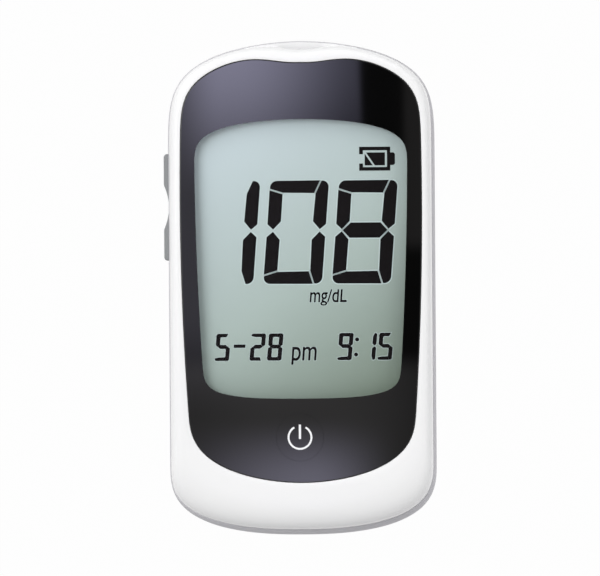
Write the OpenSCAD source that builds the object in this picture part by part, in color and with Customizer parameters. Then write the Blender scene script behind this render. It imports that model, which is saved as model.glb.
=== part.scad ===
// Handheld blood glucose meter: two lofted shells round a display, a board and two cells.
// The meter lies on its back: +Z is out of the display, +Y is the test strip's end.
// The origin is on the back face, at the middle of the length and width.

/* [Body] */
// Overall length
body_length = 97; // [94:0.5:104]
// Overall width, without the side key
body_width = 52.4; // [51:0.2:58]
// Wall of both shells
wall = 1.5; // [1.3:0.1:1.7]
// Height of the joint between the two shells
parting_height = 10.5; // [10.2:0.1:11.2]
// How far the front shell is set in from the rear shell's rim
rim_step = 0.7; // [0.4:0.1:0.9]
// Width of the rounded edge round the back face
back_edge_width = 5.5; // [4:0.5:6]
// Height of the rounded edge round the back face
back_edge_height = 7; // [5:0.5:8]
// Radius of the crown of the panel
crown_radius = 900; // [700:50:1500]

/* [Panel] */
// Thickness of the panel and of the window in it
panel_thickness = 1.2; // [1:0.1:1.5]
// White bezel beside the panel
bezel_side = 2.75; // [2.4:0.05:3.2]
// White bezel above the panel's corners
bezel_top = 1.45; // [1.3:0.05:2]
// White bezel below the panel
bezel_bottom = 10.3; // [9:0.1:11]
// Depth of the dip in the panel's upper edge
panel_dip = 2.85; // [2:0.05:3.2]
// Gap between the panel and its pocket
panel_gap = 0.1; // [0.05:0.05:0.2]
// Thickness of the deck that carries the panel
deck = 0.9; // [0.7:0.1:1.1]

/* [Window] */
// Black border beside the window
frame_side = 3.4; // [3:0.1:3.8]
// Black border above the window, from the panel's corners
frame_top = 14; // [13:0.5:15]
// Black border below the window
frame_bottom = 16.5; // [16:0.5:18]

/* [Strip port] */
// Depth of the scoop in the front shell's rim
scoop_depth = 1.3; // [0.8:0.1:1.5]
// Reach of the scoop to each side
scoop_reach = 6; // [5:0.5:7]
// Thickness of the rear shell's lip below the slot
lip_depth = 3; // [2.6:0.1:3.4]
// Width of the slot for the test strip
slot_width = 9; // [8:0.5:10]
// Height of the slot for the test strip
slot_height = 1; // [0.8:0.1:1.2]

/* [Power key] */
// Radius of the power key
power_key_radius = 4.6; // [4:0.1:4.8]
// Key's place across the panel
power_key_x = -0.5; // [-1:0.1:1]
// Key's height on the panel, above its lower edge
power_key_y = 8.9; // [8.4:0.1:9.4]
// Gap round the power key
power_key_gap = 0.12; // [0.08:0.02:0.2]
// Travel of the power key
power_key_travel = 0.3; // [0.2:0.05:0.35]

/* [Side key] */
// Length of the side key
side_key_length = 21; // [18:0.5:22]
// Height of the side key
side_key_height = 4.2; // [3.6:0.1:4.4]
// How far the side key stands out of the shell
side_key_proud = 0.9; // [0.6:0.1:1.1]
// Middle of the side key along the body
side_key_y = 16; // [14:0.5:17]
// Distance of the key's pivot from the outside of the body
side_pivot_depth = 4; // [3.8:0.1:4.2]
// Radius of the pivot pin
side_pin_radius = 0.75; // [0.6:0.05:0.9]
// Distance of each side switch from the pivot
side_switch_reach = 7.5; // [6.5:0.5:8]

/* [Display] */
// Thickness of the display glass
glass = 1.6; // [1.4:0.1:2]
// How far the glass reaches past the window
glass_margin = 0.95; // [0.7:0.05:1.1]
// Ledge for the pins at the top of the glass
glass_ledge = 2.85; // [2.6:0.05:3]
// Gap between the board and the glass
glass_lift = 0.4; // [0.35:0.05:0.6]
// Air between the glass's corners and the panel
glass_air = 0.26; // [0.2:0.02:0.5]

/* [Board] */
// Thickness of the circuit board
board = 0.8; // [0.6:0.1:1.2]
// Gap between the battery bay and the board
board_gap = 0.15; // [0.1:0.05:0.3]

/* [Battery] */
// Diameter of a cell
cell_diameter = 10.5; // [10:0.1:11]
// Length of a cell, with its button
cell_length = 44.5; // [43:0.5:45]
// Length of a fitted battery spring
spring_length = 3.2; // [2.6:0.1:3.6]
// Thickness of the battery door
door = 1.3; // [1.1:0.1:1.4]
// Thickness of the battery bay's roof
bay_roof = 0.7; // [0.6:0.1:0.9]
// Gap round the battery door
door_gap = 0.2; // [0.15:0.05:0.3]

/* [Screws] */
// Radius of a case screw's shank
case_screw_radius = 1; // [0.9:0.05:1.1]
// Length of a case screw's shank
case_screw_length = 8; // [7:0.5:9]
// Radius of a board screw's shank
board_screw_radius = 0.7; // [0.6:0.05:0.8]

/* [Hidden] */
$fn = 48;

// Steps of the lofts: round each end of an outline, along each side, and up each curved edge
cap_steps = 36;
side_steps = 10;
edge_steps = 7;
inner_steps = 5;
// How square the curved edges are: 2 is a quarter ellipse
edge_power = 2.25;
// Slack between pieces that must not touch, and between a shaft and its bore
slack = 0.15;
running = 0.05;
// Overlap that joins the solids of one piece
bite = 0.4;
// Gap round a shank or pin that is held fast, and room past its tip
seat = 0.02;
tip_room = 0.2;

body_half = body_width / 2;
end_y = body_length / 2;
parting_groove = 0.25;
rim_round = 0.5;
glue = 0.05;
panel_bevel = 0.35;

// ---- Heights, stacked from the back face to the crown ----
cell_z = door + slack + cell_diameter / 2;
bay_top = cell_z + cell_diameter / 2 + slack;
board_bottom = bay_top + bay_roof + board_gap;
board_top = board_bottom + board;
glass_bottom = board_top + glass_lift;
glass_top = glass_bottom + glass;

// ---- Outlines ----
// An outline is two superellipse caps on sides that flare towards the top and bow outwards:
// [half width, flare, bow, top cap, bottom cap, depth of the dip in the top edge]
// A cap is [y of its centre, rise, power towards the sides, power towards the end].
dip_reach = 8.1;
function top_cap(edge, rise, side_power, end_power) = [edge - rise, rise, side_power, end_power];
function low_cap(edge, rise, side_power, end_power) = [edge + rise, rise, side_power, end_power];
body_shape = [
    body_half, 0, 0, top_cap(end_y, 25.6, 1.83, 4.98), low_cap(-end_y, 14.3, 2.39, 3.09), 0,
];
panel_half = body_half - bezel_side;
panel_top = end_y - bezel_top;
panel_bottom = bezel_bottom - end_y;
panel_shape = [
    panel_half, 0.028, 0.0008,
    top_cap(panel_top, 19.9, 1.35, 4.47), low_cap(panel_bottom, 13.8, 1.91, 2.95), panel_dip,
];
window_half = panel_half - frame_side;
window_top = panel_top - frame_top;
window_bottom = panel_bottom + frame_bottom;
window_shape = [
    window_half, 0.047, 0.0007,
    top_cap(window_top, 9.7, 2.05, 3.94), low_cap(window_bottom, 10.7, 2.6, 6.5), 0,
];

function lerp(a, b, t) = a + (b - a) * t;
function half_at(shape, y) = shape[0] + shape[1] * y - shape[2] * y * y;
// Distance from the centre to |x|^n + |y|^m = 1 along a direction, by Newton's method
function reach(c, s, n, m, r = 1.3, turns = 14) =
    turns == 0 ? r
    : reach(c, s, n, m, r - (pow(r * c, n) + pow(r * s, m) - 1) * r
        / (n * pow(r * c, n) + m * pow(r * s, m)), turns - 1);
function cap_point(shape, cap, angle) =
    let (c = abs(cos(angle)), s = abs(sin(angle)), r = reach(c, s, cap[2], cap[3]),
         side = cos(angle) < 0 ? -1 : 1, end = sin(angle) < 0 ? -1 : 1,
         y = cap[0] + end * cap[1] * r * s, x = side * half_at(shape, y) * r * c,
         dip = end > 0 ? shape[5] * exp(-pow(x / dip_reach, 2)) : 0)
    [x, y - dip];
function side_point(shape, side, t) =
    let (y = lerp(shape[3][0], shape[4][0], t)) [side * half_at(shape, y), y];
// Points of an outline, anticlockwise from the right-hand end of the top cap
function outline(shape) = concat(
    [for (i = [0 : cap_steps]) cap_point(shape, shape[3], 180 * i / cap_steps)],
    [for (i = [1 : side_steps - 1]) side_point(shape, -1, i / side_steps)],
    [for (i = [0 : cap_steps]) cap_point(shape, shape[4], 180 + 180 * i / cap_steps)],
    [for (i = [side_steps - 1 : -1 : 1]) side_point(shape, 1, i / side_steps)]);
// The outline moved inwards along its normals
function inset(points, distance) =
    let (n = len(points))
    [for (i = [0 : n - 1])
        let (t = points[(i + 1) % n] - points[(i + n - 1) % n])
        points[i] - distance * [t.y, -t.x] / norm(t)];
// The outline with its top pressed in over the strip port
function scooped(points, depth, spread) =
    [for (p = points) [p.x, p.y - (p.y > 0 ? depth * exp(-pow(p.x / spread, 2)) : 0)]];
function between(a, b, t) = [for (i = [0 : len(a) - 1]) lerp(a[i], b[i], t)];
function shrunk(points, centre, size) = [for (p = points) centre + size * (p - centre)];

body_line = outline(body_shape);
panel_line = outline(panel_shape);
window_line = outline(window_shape);
pocket_line = inset(panel_line, -panel_gap);
front_line = scooped(inset(body_line, rim_step), scoop_depth, scoop_reach);

// ---- The crown ----
// The highest line of the crown lies a little below the panel's middle
crown_shift = 1.4;
crown_y = (panel_top + panel_bottom) / 2 - crown_shift;
function sag(x, y) = crown_radius - sqrt(pow(crown_radius, 2) - x * x - pow(y - crown_y, 2));
// The display glass, and the crown's height that clears its upper corners
glass_half = half_at(window_shape, window_shape[3][0]) + glass_margin;
glass_y = [window_bottom - glass_margin, window_top + glass_ledge];
body_height = glass_top + glass_air + panel_thickness + sag(glass_half, glass_y[1]);
function crown(p) = body_height - sag(p.x, p.y);
function lifted(points, z) = [for (p = points) [p.x, p.y, z]];
function crowned(points, below) = [for (p = points) [p.x, p.y, crown(p) - below]];

// ---- Curved edges: how far in and how far up, for an angle from 0 to 90 ----
function edge_in(angle) = 1 - pow(cos(angle), 2 / edge_power);
function edge_up(angle) = pow(sin(angle), 2 / edge_power);

// Walls between rings of points. The rings run up the outside, and down the inside.
function loft_faces(rings, n, closed) =
    [for (r = [0 : closed ? rings - 1 : rings - 2], i = [0 : n - 1])
        let (a = r * n + i, b = r * n + (i + 1) % n,
             up = (r + 1) % rings * n, d = up + i, c = up + (i + 1) % n)
        each [[a, d, c], [a, c, b]]];
// A closed band, such as a shell that is open in the middle
module band(rings) {
    polyhedron(points = [for (r = rings) each r],
        faces = loft_faces(len(rings), len(rings[0]), true));
}
// A solid whose first and last rings are flat faces. They fan out from a point in the middle
// of the top cap, because three points of a straight side would make an empty triangle.
module loft(rings) {
    n = len(rings[0]);
    last = (len(rings) - 1) * n;
    first = floor(n * cap_steps / (4 * cap_steps + 4 * side_steps));
    polyhedron(points = [for (r = rings) each r],
        faces = concat(loft_faces(len(rings), n, false),
            [[for (i = [0 : n - 1]) (i + first) % n]],
            [[for (i = [n - 1 : -1 : 0]) last + (i + first) % n]]));
}
module block(low, high) {
    translate(low) cube(high - low);
}
module along_x(x, y, z, radius, length) {
    translate([x, y, z]) rotate([0, 90, 0]) cylinder(r = radius, h = length);
}
module peg(p, z, radius, height) {
    translate([p.x, p.y, z]) cylinder(r = radius, h = height);
}

// ---- Places of the screws ----
boss_radius = case_screw_radius + 1.3;
cell_x = cell_diameter / 2 + slack;
bay_half = cell_x + cell_diameter / 2 + 2 * slack;
bay_wall = wall;
hinge_radius = door;
hinge_wall = 1.2;
plate = 0.3;
bay_length = cell_length + spring_length + 2 * plate + slack;
// The bay ends where the back face begins to curve up, less room for the finger notch
notch_room = 1;
bay_bottom = back_edge_width - end_y + bay_wall + notch_room;
bay_end = bay_bottom + bay_length;
hinge_y = bay_end + hinge_wall + slack + hinge_radius;
// The case screws: two beyond the glass's upper corners, two beside the bay's lower end
top_boss = [14.6, glass_y[1] + boss_radius + 1.1];
bottom_boss = [bay_half + bay_wall + boss_radius + 1.6, bay_bottom + 4.4];
case_places = [for (b = [top_boss, bottom_boss], s = [-1, 1]) [s * b.x, b.y]];
head_radius = case_screw_radius + 0.95;
head_height = 1.3;
// Heights of the heads' seat, of the joint between the two bosses, of the thread's end,
// and of the bosses' top, in the middle of the deck
head_seat = 3.2;
boss_split = head_seat + 3.4;
case_bore_top = head_seat + case_screw_length + tip_room;
boss_top = crown(top_boss) - panel_thickness - glue - deck / 2;

holder_wall = 0.9;
holder_slack = 0.1;
holder_half = glass_half + holder_slack + holder_wall;
holder_y = [glass_y[0] - holder_slack - holder_wall, glass_y[1] + holder_slack + holder_wall];
holder_height = 1.2;
holder_ledge = 1.1;
board_half = holder_half;
board_y = [bottom_boss.y + boss_radius + 0.6, top_boss.y + 2.4];
board_shoulder = holder_y[1];
board_neck = top_boss.x - boss_radius - 0.9;
board_places = [
    for (s = [-1, 1]) each [[s * 8.8, board_y[1] - 2.5], [s * 18.4, board_y[0] + 4.3]],
];
connector_length = 12;
connector_y = [board_y[1] - connector_length, board_y[1]];
board_boss_radius = 1.8;
board_screw_top = board_top + 1.1;

// ---- Places of the keys and switches ----
power_place = [power_key_x, panel_bottom + power_key_y];
power_flange = 0.7;
flange_room = 0.3;
flange_thickness = 0.6;
stem_radius = 1.4;
flange_top = crown([0, power_place.y - power_key_radius - power_flange]) - panel_thickness - running;
flange_bottom = flange_top - flange_thickness;
power_switch_height = 1.1;
power_plunger_radius = 1.5;
power_switch_top = board_top + power_switch_height;
power_plunger_top = power_switch_top + power_key_travel;

// Gaps of the side key in its slot: at its ends, and above and below it
side_key_gap = [0.3, 0.15];
slot_ceiling = 0.9;
side_key_z = parting_height - slot_ceiling - side_key_gap[1] - side_key_height / 2;
pivot_x = side_pivot_depth - body_half;
pin_bottom = wall + 0.8;
key_back_x = pivot_x - 0.8;
arm_x = pivot_x - 0.1;
plunger_x = arm_x + 0.08;
plunger_length = 2;
plunger_radius = 0.6;
plunger_room = 0.5;
switch_x = plunger_x + plunger_length / 2;
switch_size = [2.8, 4, 3.8];
plunger_z = board_bottom - switch_size.z + 1.3;

// ---- Shells ----
front_rings = concat(
    [lifted(inset(front_line, parting_groove), parting_height)],
    [for (k = [0 : edge_steps])
        let (a = 90 * k / edge_steps)
        [for (i = [0 : len(front_line) - 1])
            let (p = lerp(front_line[i], pocket_line[i], edge_in(a)))
            [p.x, p.y, lerp(parting_height + parting_groove, crown(pocket_line[i]), edge_up(a))]]],
    [crowned(pocket_line, panel_thickness + glue)],
    [crowned(window_line, panel_thickness + glue)],
    [crowned(window_line, panel_thickness + glue + deck)],
    [for (k = [inner_steps : -1 : 0])
        let (a = 90 * k / inner_steps, low = inset(front_line, wall), high = inset(pocket_line, 0.5))
        [for (i = [0 : len(front_line) - 1])
            let (p = lerp(low[i], high[i], edge_in(a)),
                 top = crown(high[i]) - panel_thickness - glue - deck)
            [p.x, p.y, lerp(parting_height, top, edge_up(a))]]]);

module front_shell() {
    color("white")
    difference() {
        union() {
            band(front_rings);
            for (p = case_places) peg(p, boss_split, boss_radius, boss_top - boss_split);
            for (p = board_places) peg(p, board_top, board_boss_radius, boss_top - board_top);
        }
        block([-glass_half - slack, glass_y[0] - slack, board_top],
            [glass_half + slack, glass_y[1] + slack, body_height]);
        peg(power_place, board_top, power_key_radius + power_flange + flange_room, body_height);
        block([-slot_width / 2, lip_y, parting_height - 1],
            [slot_width / 2, end_y + 1, parting_height + slot_height]);
        for (p = case_places)
            peg(p, boss_split - 1, case_screw_radius + seat, case_bore_top - boss_split + 1);
        for (p = board_places)
            peg(p, board_top - 1, board_screw_radius + seat, board_screw_top + tip_room - board_top + 1);
    }
}

// The rear shell's outside: how far in from the rim, and how high
function rear_outer(a) = [back_edge_width * (1 - edge_up(a)), back_edge_height * edge_in(a)];
lip_line = scooped(inset(body_line, wall), lip_depth, scoop_reach + 2);
rear_rings = concat(
    [for (k = [0 : edge_steps])
        let (q = rear_outer(90 * k / edge_steps)) lifted(inset(body_line, q[0]), q[1])],
    [for (a = [0, 30, 60, 90])
        lifted(inset(body_line, rim_round * (1 - cos(a))), parting_height - rim_round * (1 - sin(a)))],
    [for (k = [inner_steps : -1 : 0])
        let (q = rear_outer(90 * k / inner_steps), low = inset(body_line, wall + q[0]))
        k == inner_steps ? lifted(lip_line, parting_height)
        : lifted(low, lerp(wall, back_edge_height, q[1] / back_edge_height))]);

module rear_shell() {
    notch_radius = 6.4;
    notch_depth = 1;
    notch_reach = 2.2;
    color("whitesmoke")
    difference() {
        union() {
            loft(rear_rings);
            block([-bay_half - bay_wall, bay_bottom - bay_wall, wall - bite],
                [bay_half + bay_wall, bay_end + hinge_wall, bay_top + bay_roof]);
            for (p = case_places) peg(p, wall - bite, boss_radius + 0.4, boss_split - wall + bite - slack);
            peg([pivot_x, side_key_y], wall, side_pin_radius + 1,
                side_key_z - side_key_height / 2 - slack - wall);
            for (s = [-1, 1]) hinge_lug(s);
        }
        block([-bay_half, bay_bottom, -1], [bay_half, bay_end, bay_top]);
        door_recess();
        for (s = [-1, 1]) along_x(s > 0 ? 1 : -door_half - slack, hinge_y, hinge_radius,
            hinge_pin_radius + seat, door_half + slack - 1);
        for (p = case_places) {
            peg(p, -1, head_radius + slack, head_seat + 1);
            peg(p, 0, case_screw_radius + slack, boss_split);
        }
        peg([pivot_x, side_key_y], pin_bottom, side_pin_radius + seat, body_height);
        block([-body_half - 1, side_key_y - side_key_length / 2 - side_key_gap[0],
                side_key_z - side_key_height / 2 - side_key_gap[1]],
            [key_back_x + 1, side_key_y + side_key_length / 2 + side_key_gap[0],
                side_key_z + side_key_height / 2 + side_key_gap[1]]);
        // Finger notch at the free end of the door
        translate([0, door_bottom - notch_reach, notch_depth - notch_radius])
            sphere(r = notch_radius);
        // Slots for the tabs of the two contacts at the bay's upper end
        for (s = [-1, 1])
            block([s * cell_x - plate_tab - 0.2, bay_end - plate - slack, bay_top - 1],
                [s * cell_x + plate_tab + 0.2, bay_end + slack, bay_top + bay_roof + 1]);
    }
}

// ---- Battery door and its hinge ----
door_half = bay_half + 0.8;
door_bottom = bay_bottom - 0.8;
knuckle_half = 7;
hinge_pin_radius = 0.6;
plate_tab = 1.2;

// The recess that the door lies in, with the hinge's lugs left standing
module door_recess() {
    difference() {
        block([-door_half - door_gap, door_bottom - door_gap, -1],
            [door_half + door_gap, hinge_y, door + running]);
        for (s = [-1, 1]) hinge_lug(s);
    }
    block([-knuckle_half - slack, hinge_y - hinge_radius - slack, -1],
        [knuckle_half + slack, hinge_y + hinge_radius + slack, 2 * hinge_radius + slack]);
}
module hinge_lug(s) {
    x = s > 0 ? knuckle_half + slack : -door_half - door_gap;
    length = door_half + door_gap - knuckle_half - slack;
    along_x(x, hinge_y, hinge_radius, hinge_radius, length);
    block([x, hinge_y, 0], [x + length, hinge_y + hinge_radius, 2 * hinge_radius]);
}

module battery_door() {
    tab = [5, 8];
    tab_slot = 0.6;
    line = 0.5;
    pitch = 1.2;
    color("whitesmoke")
    difference() {
        union() {
            block([-door_half, door_bottom, 0],
                [door_half, hinge_y - hinge_radius - door_gap, door]);
            block([-knuckle_half, hinge_y - hinge_radius - 1, 0], [knuckle_half, hinge_y, door]);
            along_x(-knuckle_half, hinge_y, hinge_radius, hinge_radius, 2 * knuckle_half);
        }
        along_x(-knuckle_half - 1, hinge_y, hinge_radius, hinge_pin_radius + running,
            2 * knuckle_half + 2);
        // The two slots that free the latch tab
        for (s = [-1, 1]) block([s * tab.x - tab_slot / 2, door_bottom - 1, -1],
            [s * tab.x + tab_slot / 2, door_bottom + tab.y, door + 1]);
        // Grip lines across the tab
        for (i = [1 : 5]) block([pitch - tab.x, door_bottom + pitch * i, -1],
            [tab.x - pitch, door_bottom + pitch * i + line, 0.3]);
    }
}

module door_hinge_pin() {
    color("silver")
    along_x(-door_half, hinge_y, hinge_radius, hinge_pin_radius, 2 * door_half);
}

// ---- Panel, window and power key ----
module front_panel() {
    top_line = inset(panel_line, panel_bevel);
    color([0.08, 0.08, 0.1])
    difference() {
        band([
            crowned(panel_line, panel_thickness),
            crowned(panel_line, panel_bevel),
            crowned(top_line, 0),
            crowned(between(top_line, window_line, 0.5), 0),
            crowned(window_line, 0),
            crowned(window_line, panel_thickness),
            crowned(between(panel_line, window_line, 0.5), panel_thickness),
        ]);
        peg(power_place, board_top, power_key_radius + power_key_gap, body_height);
    }
}

module display_window() {
    centre = [0, (window_top + window_bottom) / 2];
    rim = inset(window_line, 0.02);
    sizes = [0.25, 0.5, 0.75, 1];
    color([0.8, 0.9, 0.95, 0.4])
    loft(concat(
        [for (s = sizes) crowned(shrunk(rim, centre, s), panel_thickness)],
        [for (i = [3 : -1 : 0]) crowned(shrunk(rim, centre, sizes[i]), 0)]));
}

module power_key() {
    color([0.08, 0.08, 0.1])
    union() {
        intersection() {
            peg(power_place, flange_bottom, power_key_radius, body_height);
            // The face is level with the crown and tilts with it
            translate([power_place.x, power_place.y, crown(power_place)])
                rotate([-asin((power_place.y - crown_y) / crown_radius), 0, 0])
                    block([-body_half, -body_half, -body_height], [body_half, body_half, 0]);
        }
        peg(power_place, flange_bottom, power_key_radius + power_flange, flange_thickness);
        peg(power_place, power_plunger_top + running, stem_radius, flange_bottom - power_plunger_top);
    }
}

// ---- Side key: a rocker with a thumb valley between its two humps ----
module side_key() {
    valley_depth = side_key_proud + 0.13;
    valley_radius = 9.66;
    half = side_key_length / 2;
    corner = 0.7;
    round_radius = 3.7;
    hub = [1.6, 1.9];
    arm_half = 0.9;
    outer_x = -body_half - side_key_proud;
    color([0.53, 0.54, 0.55])
    difference() {
        union() {
            intersection() {
                union() {
                    block([outer_x + corner, side_key_y - half, side_key_z - side_key_height / 2],
                        [key_back_x, side_key_y + half, side_key_z + side_key_height / 2]);
                    block([outer_x, side_key_y - half + corner, side_key_z - side_key_height / 2],
                        [key_back_x, side_key_y + half - corner, side_key_z + side_key_height / 2]);
                    for (s = [-1, 1])
                        peg([outer_x + corner, side_key_y + s * (half - corner)],
                            side_key_z - side_key_height / 2, corner, side_key_height);
                }
                translate([outer_x + round_radius, side_key_y + half + 1, side_key_z])
                    rotate([90, 0, 0]) cylinder(r = round_radius, h = side_key_length + 2);
            }
            block([key_back_x - bite, side_key_y - hub.x, side_key_z - hub.y],
                [pivot_x + hub.x, side_key_y + hub.x, side_key_z + hub.y]);
            for (s = [-1, 1]) block(
                [key_back_x - bite, side_key_y + s * side_switch_reach - arm_half, side_key_z],
                [arm_x, side_key_y + s * side_switch_reach + arm_half, plunger_z + plunger_radius]);
        }
        peg([pivot_x, side_key_y], 0, side_pin_radius + running, 2 * side_key_z);
        peg([outer_x + valley_depth - valley_radius, side_key_y], 0, valley_radius, 2 * side_key_z);
    }
}

module side_key_pin() {
    color("silver")
    peg([pivot_x, side_key_y], pin_bottom, side_pin_radius,
        side_key_z + side_key_height / 2 - pin_bottom);
}

// ---- Display ----
module display_glass() {
    ledge = 2;
    color([0.72, 0.8, 0.76])
    union() {
        block([-glass_half, glass_y[0], glass_bottom],
            [glass_half, glass_y[1], glass_bottom + glass / 2]);
        block([-glass_half, glass_y[0], glass_bottom + glass / 2],
            [glass_half, glass_y[1] - ledge, glass_top]);
    }
}
module display_reflector() {
    sheet = 0.25;
    color("gainsboro")
    block([-glass_half + holder_ledge + slack, glass_y[0] + holder_ledge + slack, glass_bottom - sheet],
        [glass_half - holder_ledge - slack, glass_y[1] - holder_ledge - slack, glass_bottom]);
}
module display_holder() {
    bevel = 1.3;
    // The upper corners are cut off, to clear the corners of the shell
    plan = [[-holder_half, holder_y[0]], [holder_half, holder_y[0]],
        [holder_half, holder_y[1] - bevel], [holder_half - bevel, holder_y[1]],
        [bevel - holder_half, holder_y[1]], [-holder_half, holder_y[1] - bevel]];
    color("white")
    difference() {
        translate([0, 0, board_top]) linear_extrude(holder_height) polygon(plan);
        block([-glass_half - holder_slack, glass_y[0] - holder_slack, glass_bottom],
            [glass_half + holder_slack, glass_y[1] + holder_slack, glass_top]);
        block([-glass_half + holder_ledge, glass_y[0] + holder_ledge, board_top - 1],
            [glass_half - holder_ledge, glass_y[1] - holder_ledge, glass_top]);
        for (i = [0 : pin_count - 1]) pin_way(i, slack);
    }
}
pin_count = 20;
pin_pitch = 1.9;
pin_size = [0.5, 0.3];
pin_y = glass_y[1] - 0.6;
module pin_way(i, room) {
    x = (i - (pin_count - 1) / 2) * pin_pitch;
    block([x - pin_size.x / 2 - room, pin_y - pin_size.y / 2 - room, board_bottom - room],
        [x + pin_size.x / 2 + room, pin_y + pin_size.y / 2 + room, glass_bottom + room]);
}
module display_pins() {
    color("gold")
    for (i = [0 : pin_count - 1]) pin_way(i, 0);
}

// ---- Board and what is soldered to it ----
module circuit_board() {
    color("darkgreen")
    difference() {
        union() {
            block([-board_half, board_y[0], board_bottom], [board_half, board_shoulder, board_top]);
            block([-board_neck, board_y[0], board_bottom], [board_neck, board_y[1], board_top]);
        }
        for (p = board_places) peg(p, board_bottom - 1, board_screw_radius + 0.1, board + 2);
        for (i = [0 : pin_count - 1]) pin_way(i, 0.05);
    }
}
// A chip hangs below the board: a body with a row of legs on each of two or four sides
module chip(place, size, legs, pitch, sides) {
    leg = [0.25, 0.9, 0.15];
    foot = 0.4;
    drop = 0.35;
    lift = 0.1;
    translate([place.x, place.y, board_bottom]) {
        translate([-size.x / 2, -size.y / 2, -size.z - lift]) cube(size);
        for (side = sides, i = [0 : legs - 1]) rotate([0, 0, side])
            translate([(i - (legs - 1) / 2) * pitch - leg.x / 2, size.y / 2 - lift, -drop]) {
                cube(leg);
                translate([0, leg.y - foot, 0]) cube([leg.x, foot, drop]);
            }
    }
}
// The chips lie midway between the battery bay and the strip connector
bench = [bay_end + hinge_wall, connector_y[0]];
chips_y = (bench[0] + bench[1]) / 2;
controller_x = 3;
controller_size = [9, 9, 1.4];
memory_x = -8;
memory_size = [5, 4, 1.5];
module microcontroller() {
    color([0.15, 0.15, 0.16])
    chip([controller_x, chips_y], controller_size, 10, controller_size.x / 11.25, [0, 90, 180, 270]);
}
module memory_chip() {
    color([0.15, 0.15, 0.16])
    chip([memory_x, chips_y], memory_size, 4, memory_size.x / 4, [0, 180]);
}
// The crystal's can lies across the board, beside the battery bay's end
crystal_radius = 1;
crystal_length = 6;
module crystal() {
    bevel = 0.3 * crystal_radius;
    color("silver")
    translate([buzzer_place.x - crystal_length / 2, bench[0] + crystal_radius + bite,
            board_bottom - crystal_radius])
        rotate([0, 90, 0]) rotate_extrude() polygon([
            [0, 0], [crystal_radius, 0], [crystal_radius, crystal_length - bevel],
            [crystal_radius - bevel, crystal_length], [0, crystal_length],
        ]);
}
// One row of capacitors between the two chips, and one beyond the memory chip
capacitor_size = [1.6, 0.8, 0.8];
capacitor_pitch = 2;
capacitor_rows = [
    (controller_x - controller_size.x / 2 + memory_x + memory_size.x / 2) / 2,
    memory_x - memory_size.x / 2 - 2.2 * capacitor_size.x,
];
module capacitors() {
    color("tan")
    for (x = capacitor_rows, i = [-1.5 : 1.5])
        translate([x - capacitor_size.x / 2, chips_y + i * capacitor_pitch - capacitor_size.y / 2,
                board_bottom - capacitor_size.z])
            cube(capacitor_size);
}
buzzer_radius = 5;
buzzer_height = 2.6;
buzzer_place = [board_half - 1.5 * buzzer_radius, board_shoulder - 1.75 * buzzer_radius];
module buzzer() {
    hole = [0.8, 0.8];
    color([0.12, 0.12, 0.12])
    difference() {
        peg(buzzer_place, board_bottom - buzzer_height, buzzer_radius, buzzer_height);
        peg(buzzer_place, board_bottom - buzzer_height - 1, hole[0], hole[1] + 1);
    }
}

// ---- Switches ----
module power_switch() {
    half = [2.6, 2.6];
    color([0.2, 0.2, 0.2])
    difference() {
        block(concat(power_place - half, board_top), concat(power_place + half, power_switch_top));
        peg(power_place, board_top + tip_room, power_plunger_radius + running, power_switch_top);
    }
}
module power_plunger() {
    length = power_plunger_top - board_top - tip_room - power_key_travel - slack;
    color("silver") peg(power_place, power_plunger_top - length, power_plunger_radius, length);
}
module side_switch(s) {
    y = side_key_y + s * side_switch_reach;
    color([0.2, 0.2, 0.2])
    difference() {
        block([switch_x, y - switch_size.y / 2, board_bottom - switch_size.z],
            [switch_x + switch_size.x, y + switch_size.y / 2, board_bottom]);
        along_x(plunger_x, y, plunger_z, plunger_radius + running, plunger_length + plunger_room);
    }
}
module side_plunger(s) {
    color("white")
    along_x(plunger_x, side_key_y + s * side_switch_reach, plunger_z, plunger_radius, plunger_length);
}
module up_switch() side_switch(1);
module up_plunger() side_plunger(1);
module down_switch() side_switch(-1);
module down_plunger() side_plunger(-1);

// ---- Strip port ----
strip_floor = parting_height;
floor_z = strip_floor - 1;
guide_y = [board_y[1] + 2 * slack, end_y - rim_step - scoop_depth - wall - slack];
lip_y = end_y - wall - lip_depth - slack;
module strip_guide() {
    half = slot_width / 2 + 1.6;
    roof_z = board_bottom - slack;
    mouth = [slot_width, 2.4, 0.8];
    color("gainsboro")
    difference() {
        union() {
            block([-half, guide_y[0], floor_z], [half, lip_y, roof_z]);
            block([-half, lip_y - bite, strip_floor + slot_height], [half, guide_y[1], roof_z]);
        }
        block([-slot_width / 2, guide_y[0] - 1, strip_floor],
            [slot_width / 2, guide_y[1] + 1, strip_floor + slot_height]);
        // The mouth opens towards the strip
        translate([0, guide_y[1], strip_floor + slot_height]) rotate([35, 0, 0])
            cube(mouth, center = true);
    }
}
connector_half = slot_width / 2 + 0.7;
contact = [0.6, 0.25];
contact_pitch = 1.6;
contact_end = connector_y[1] - 3;
module strip_connector() {
    channel = contact.x + 2 * slack;
    channel_top = strip_floor + slot_height + contact.y + 2 * slack;
    color([0.15, 0.15, 0.17])
    difference() {
        block([-connector_half, connector_y[0], floor_z],
            [connector_half, connector_y[1], board_bottom]);
        block([-slot_width / 2, connector_y[0] + 1, strip_floor],
            [slot_width / 2, connector_y[1] + 1, strip_floor + slot_height]);
        for (i = [-2 : 2])
            block([contact_pitch * i - channel / 2, connector_y[0] - 1, strip_floor],
                [contact_pitch * i + channel / 2, contact_end, channel_top]);
    }
}
module strip_contacts() {
    tail = connector_y[0] - 0.8;
    color("gold")
    for (i = [-2 : 2]) translate([contact_pitch * i - contact.x / 2, 0, strip_floor + slot_height]) {
        block([0, tail, 0], [contact.x, contact_end - slack, contact.y]);
        block([0, tail, 0], [contact.x, tail + bite, board_bottom - strip_floor - slot_height]);
    }
}

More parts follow.
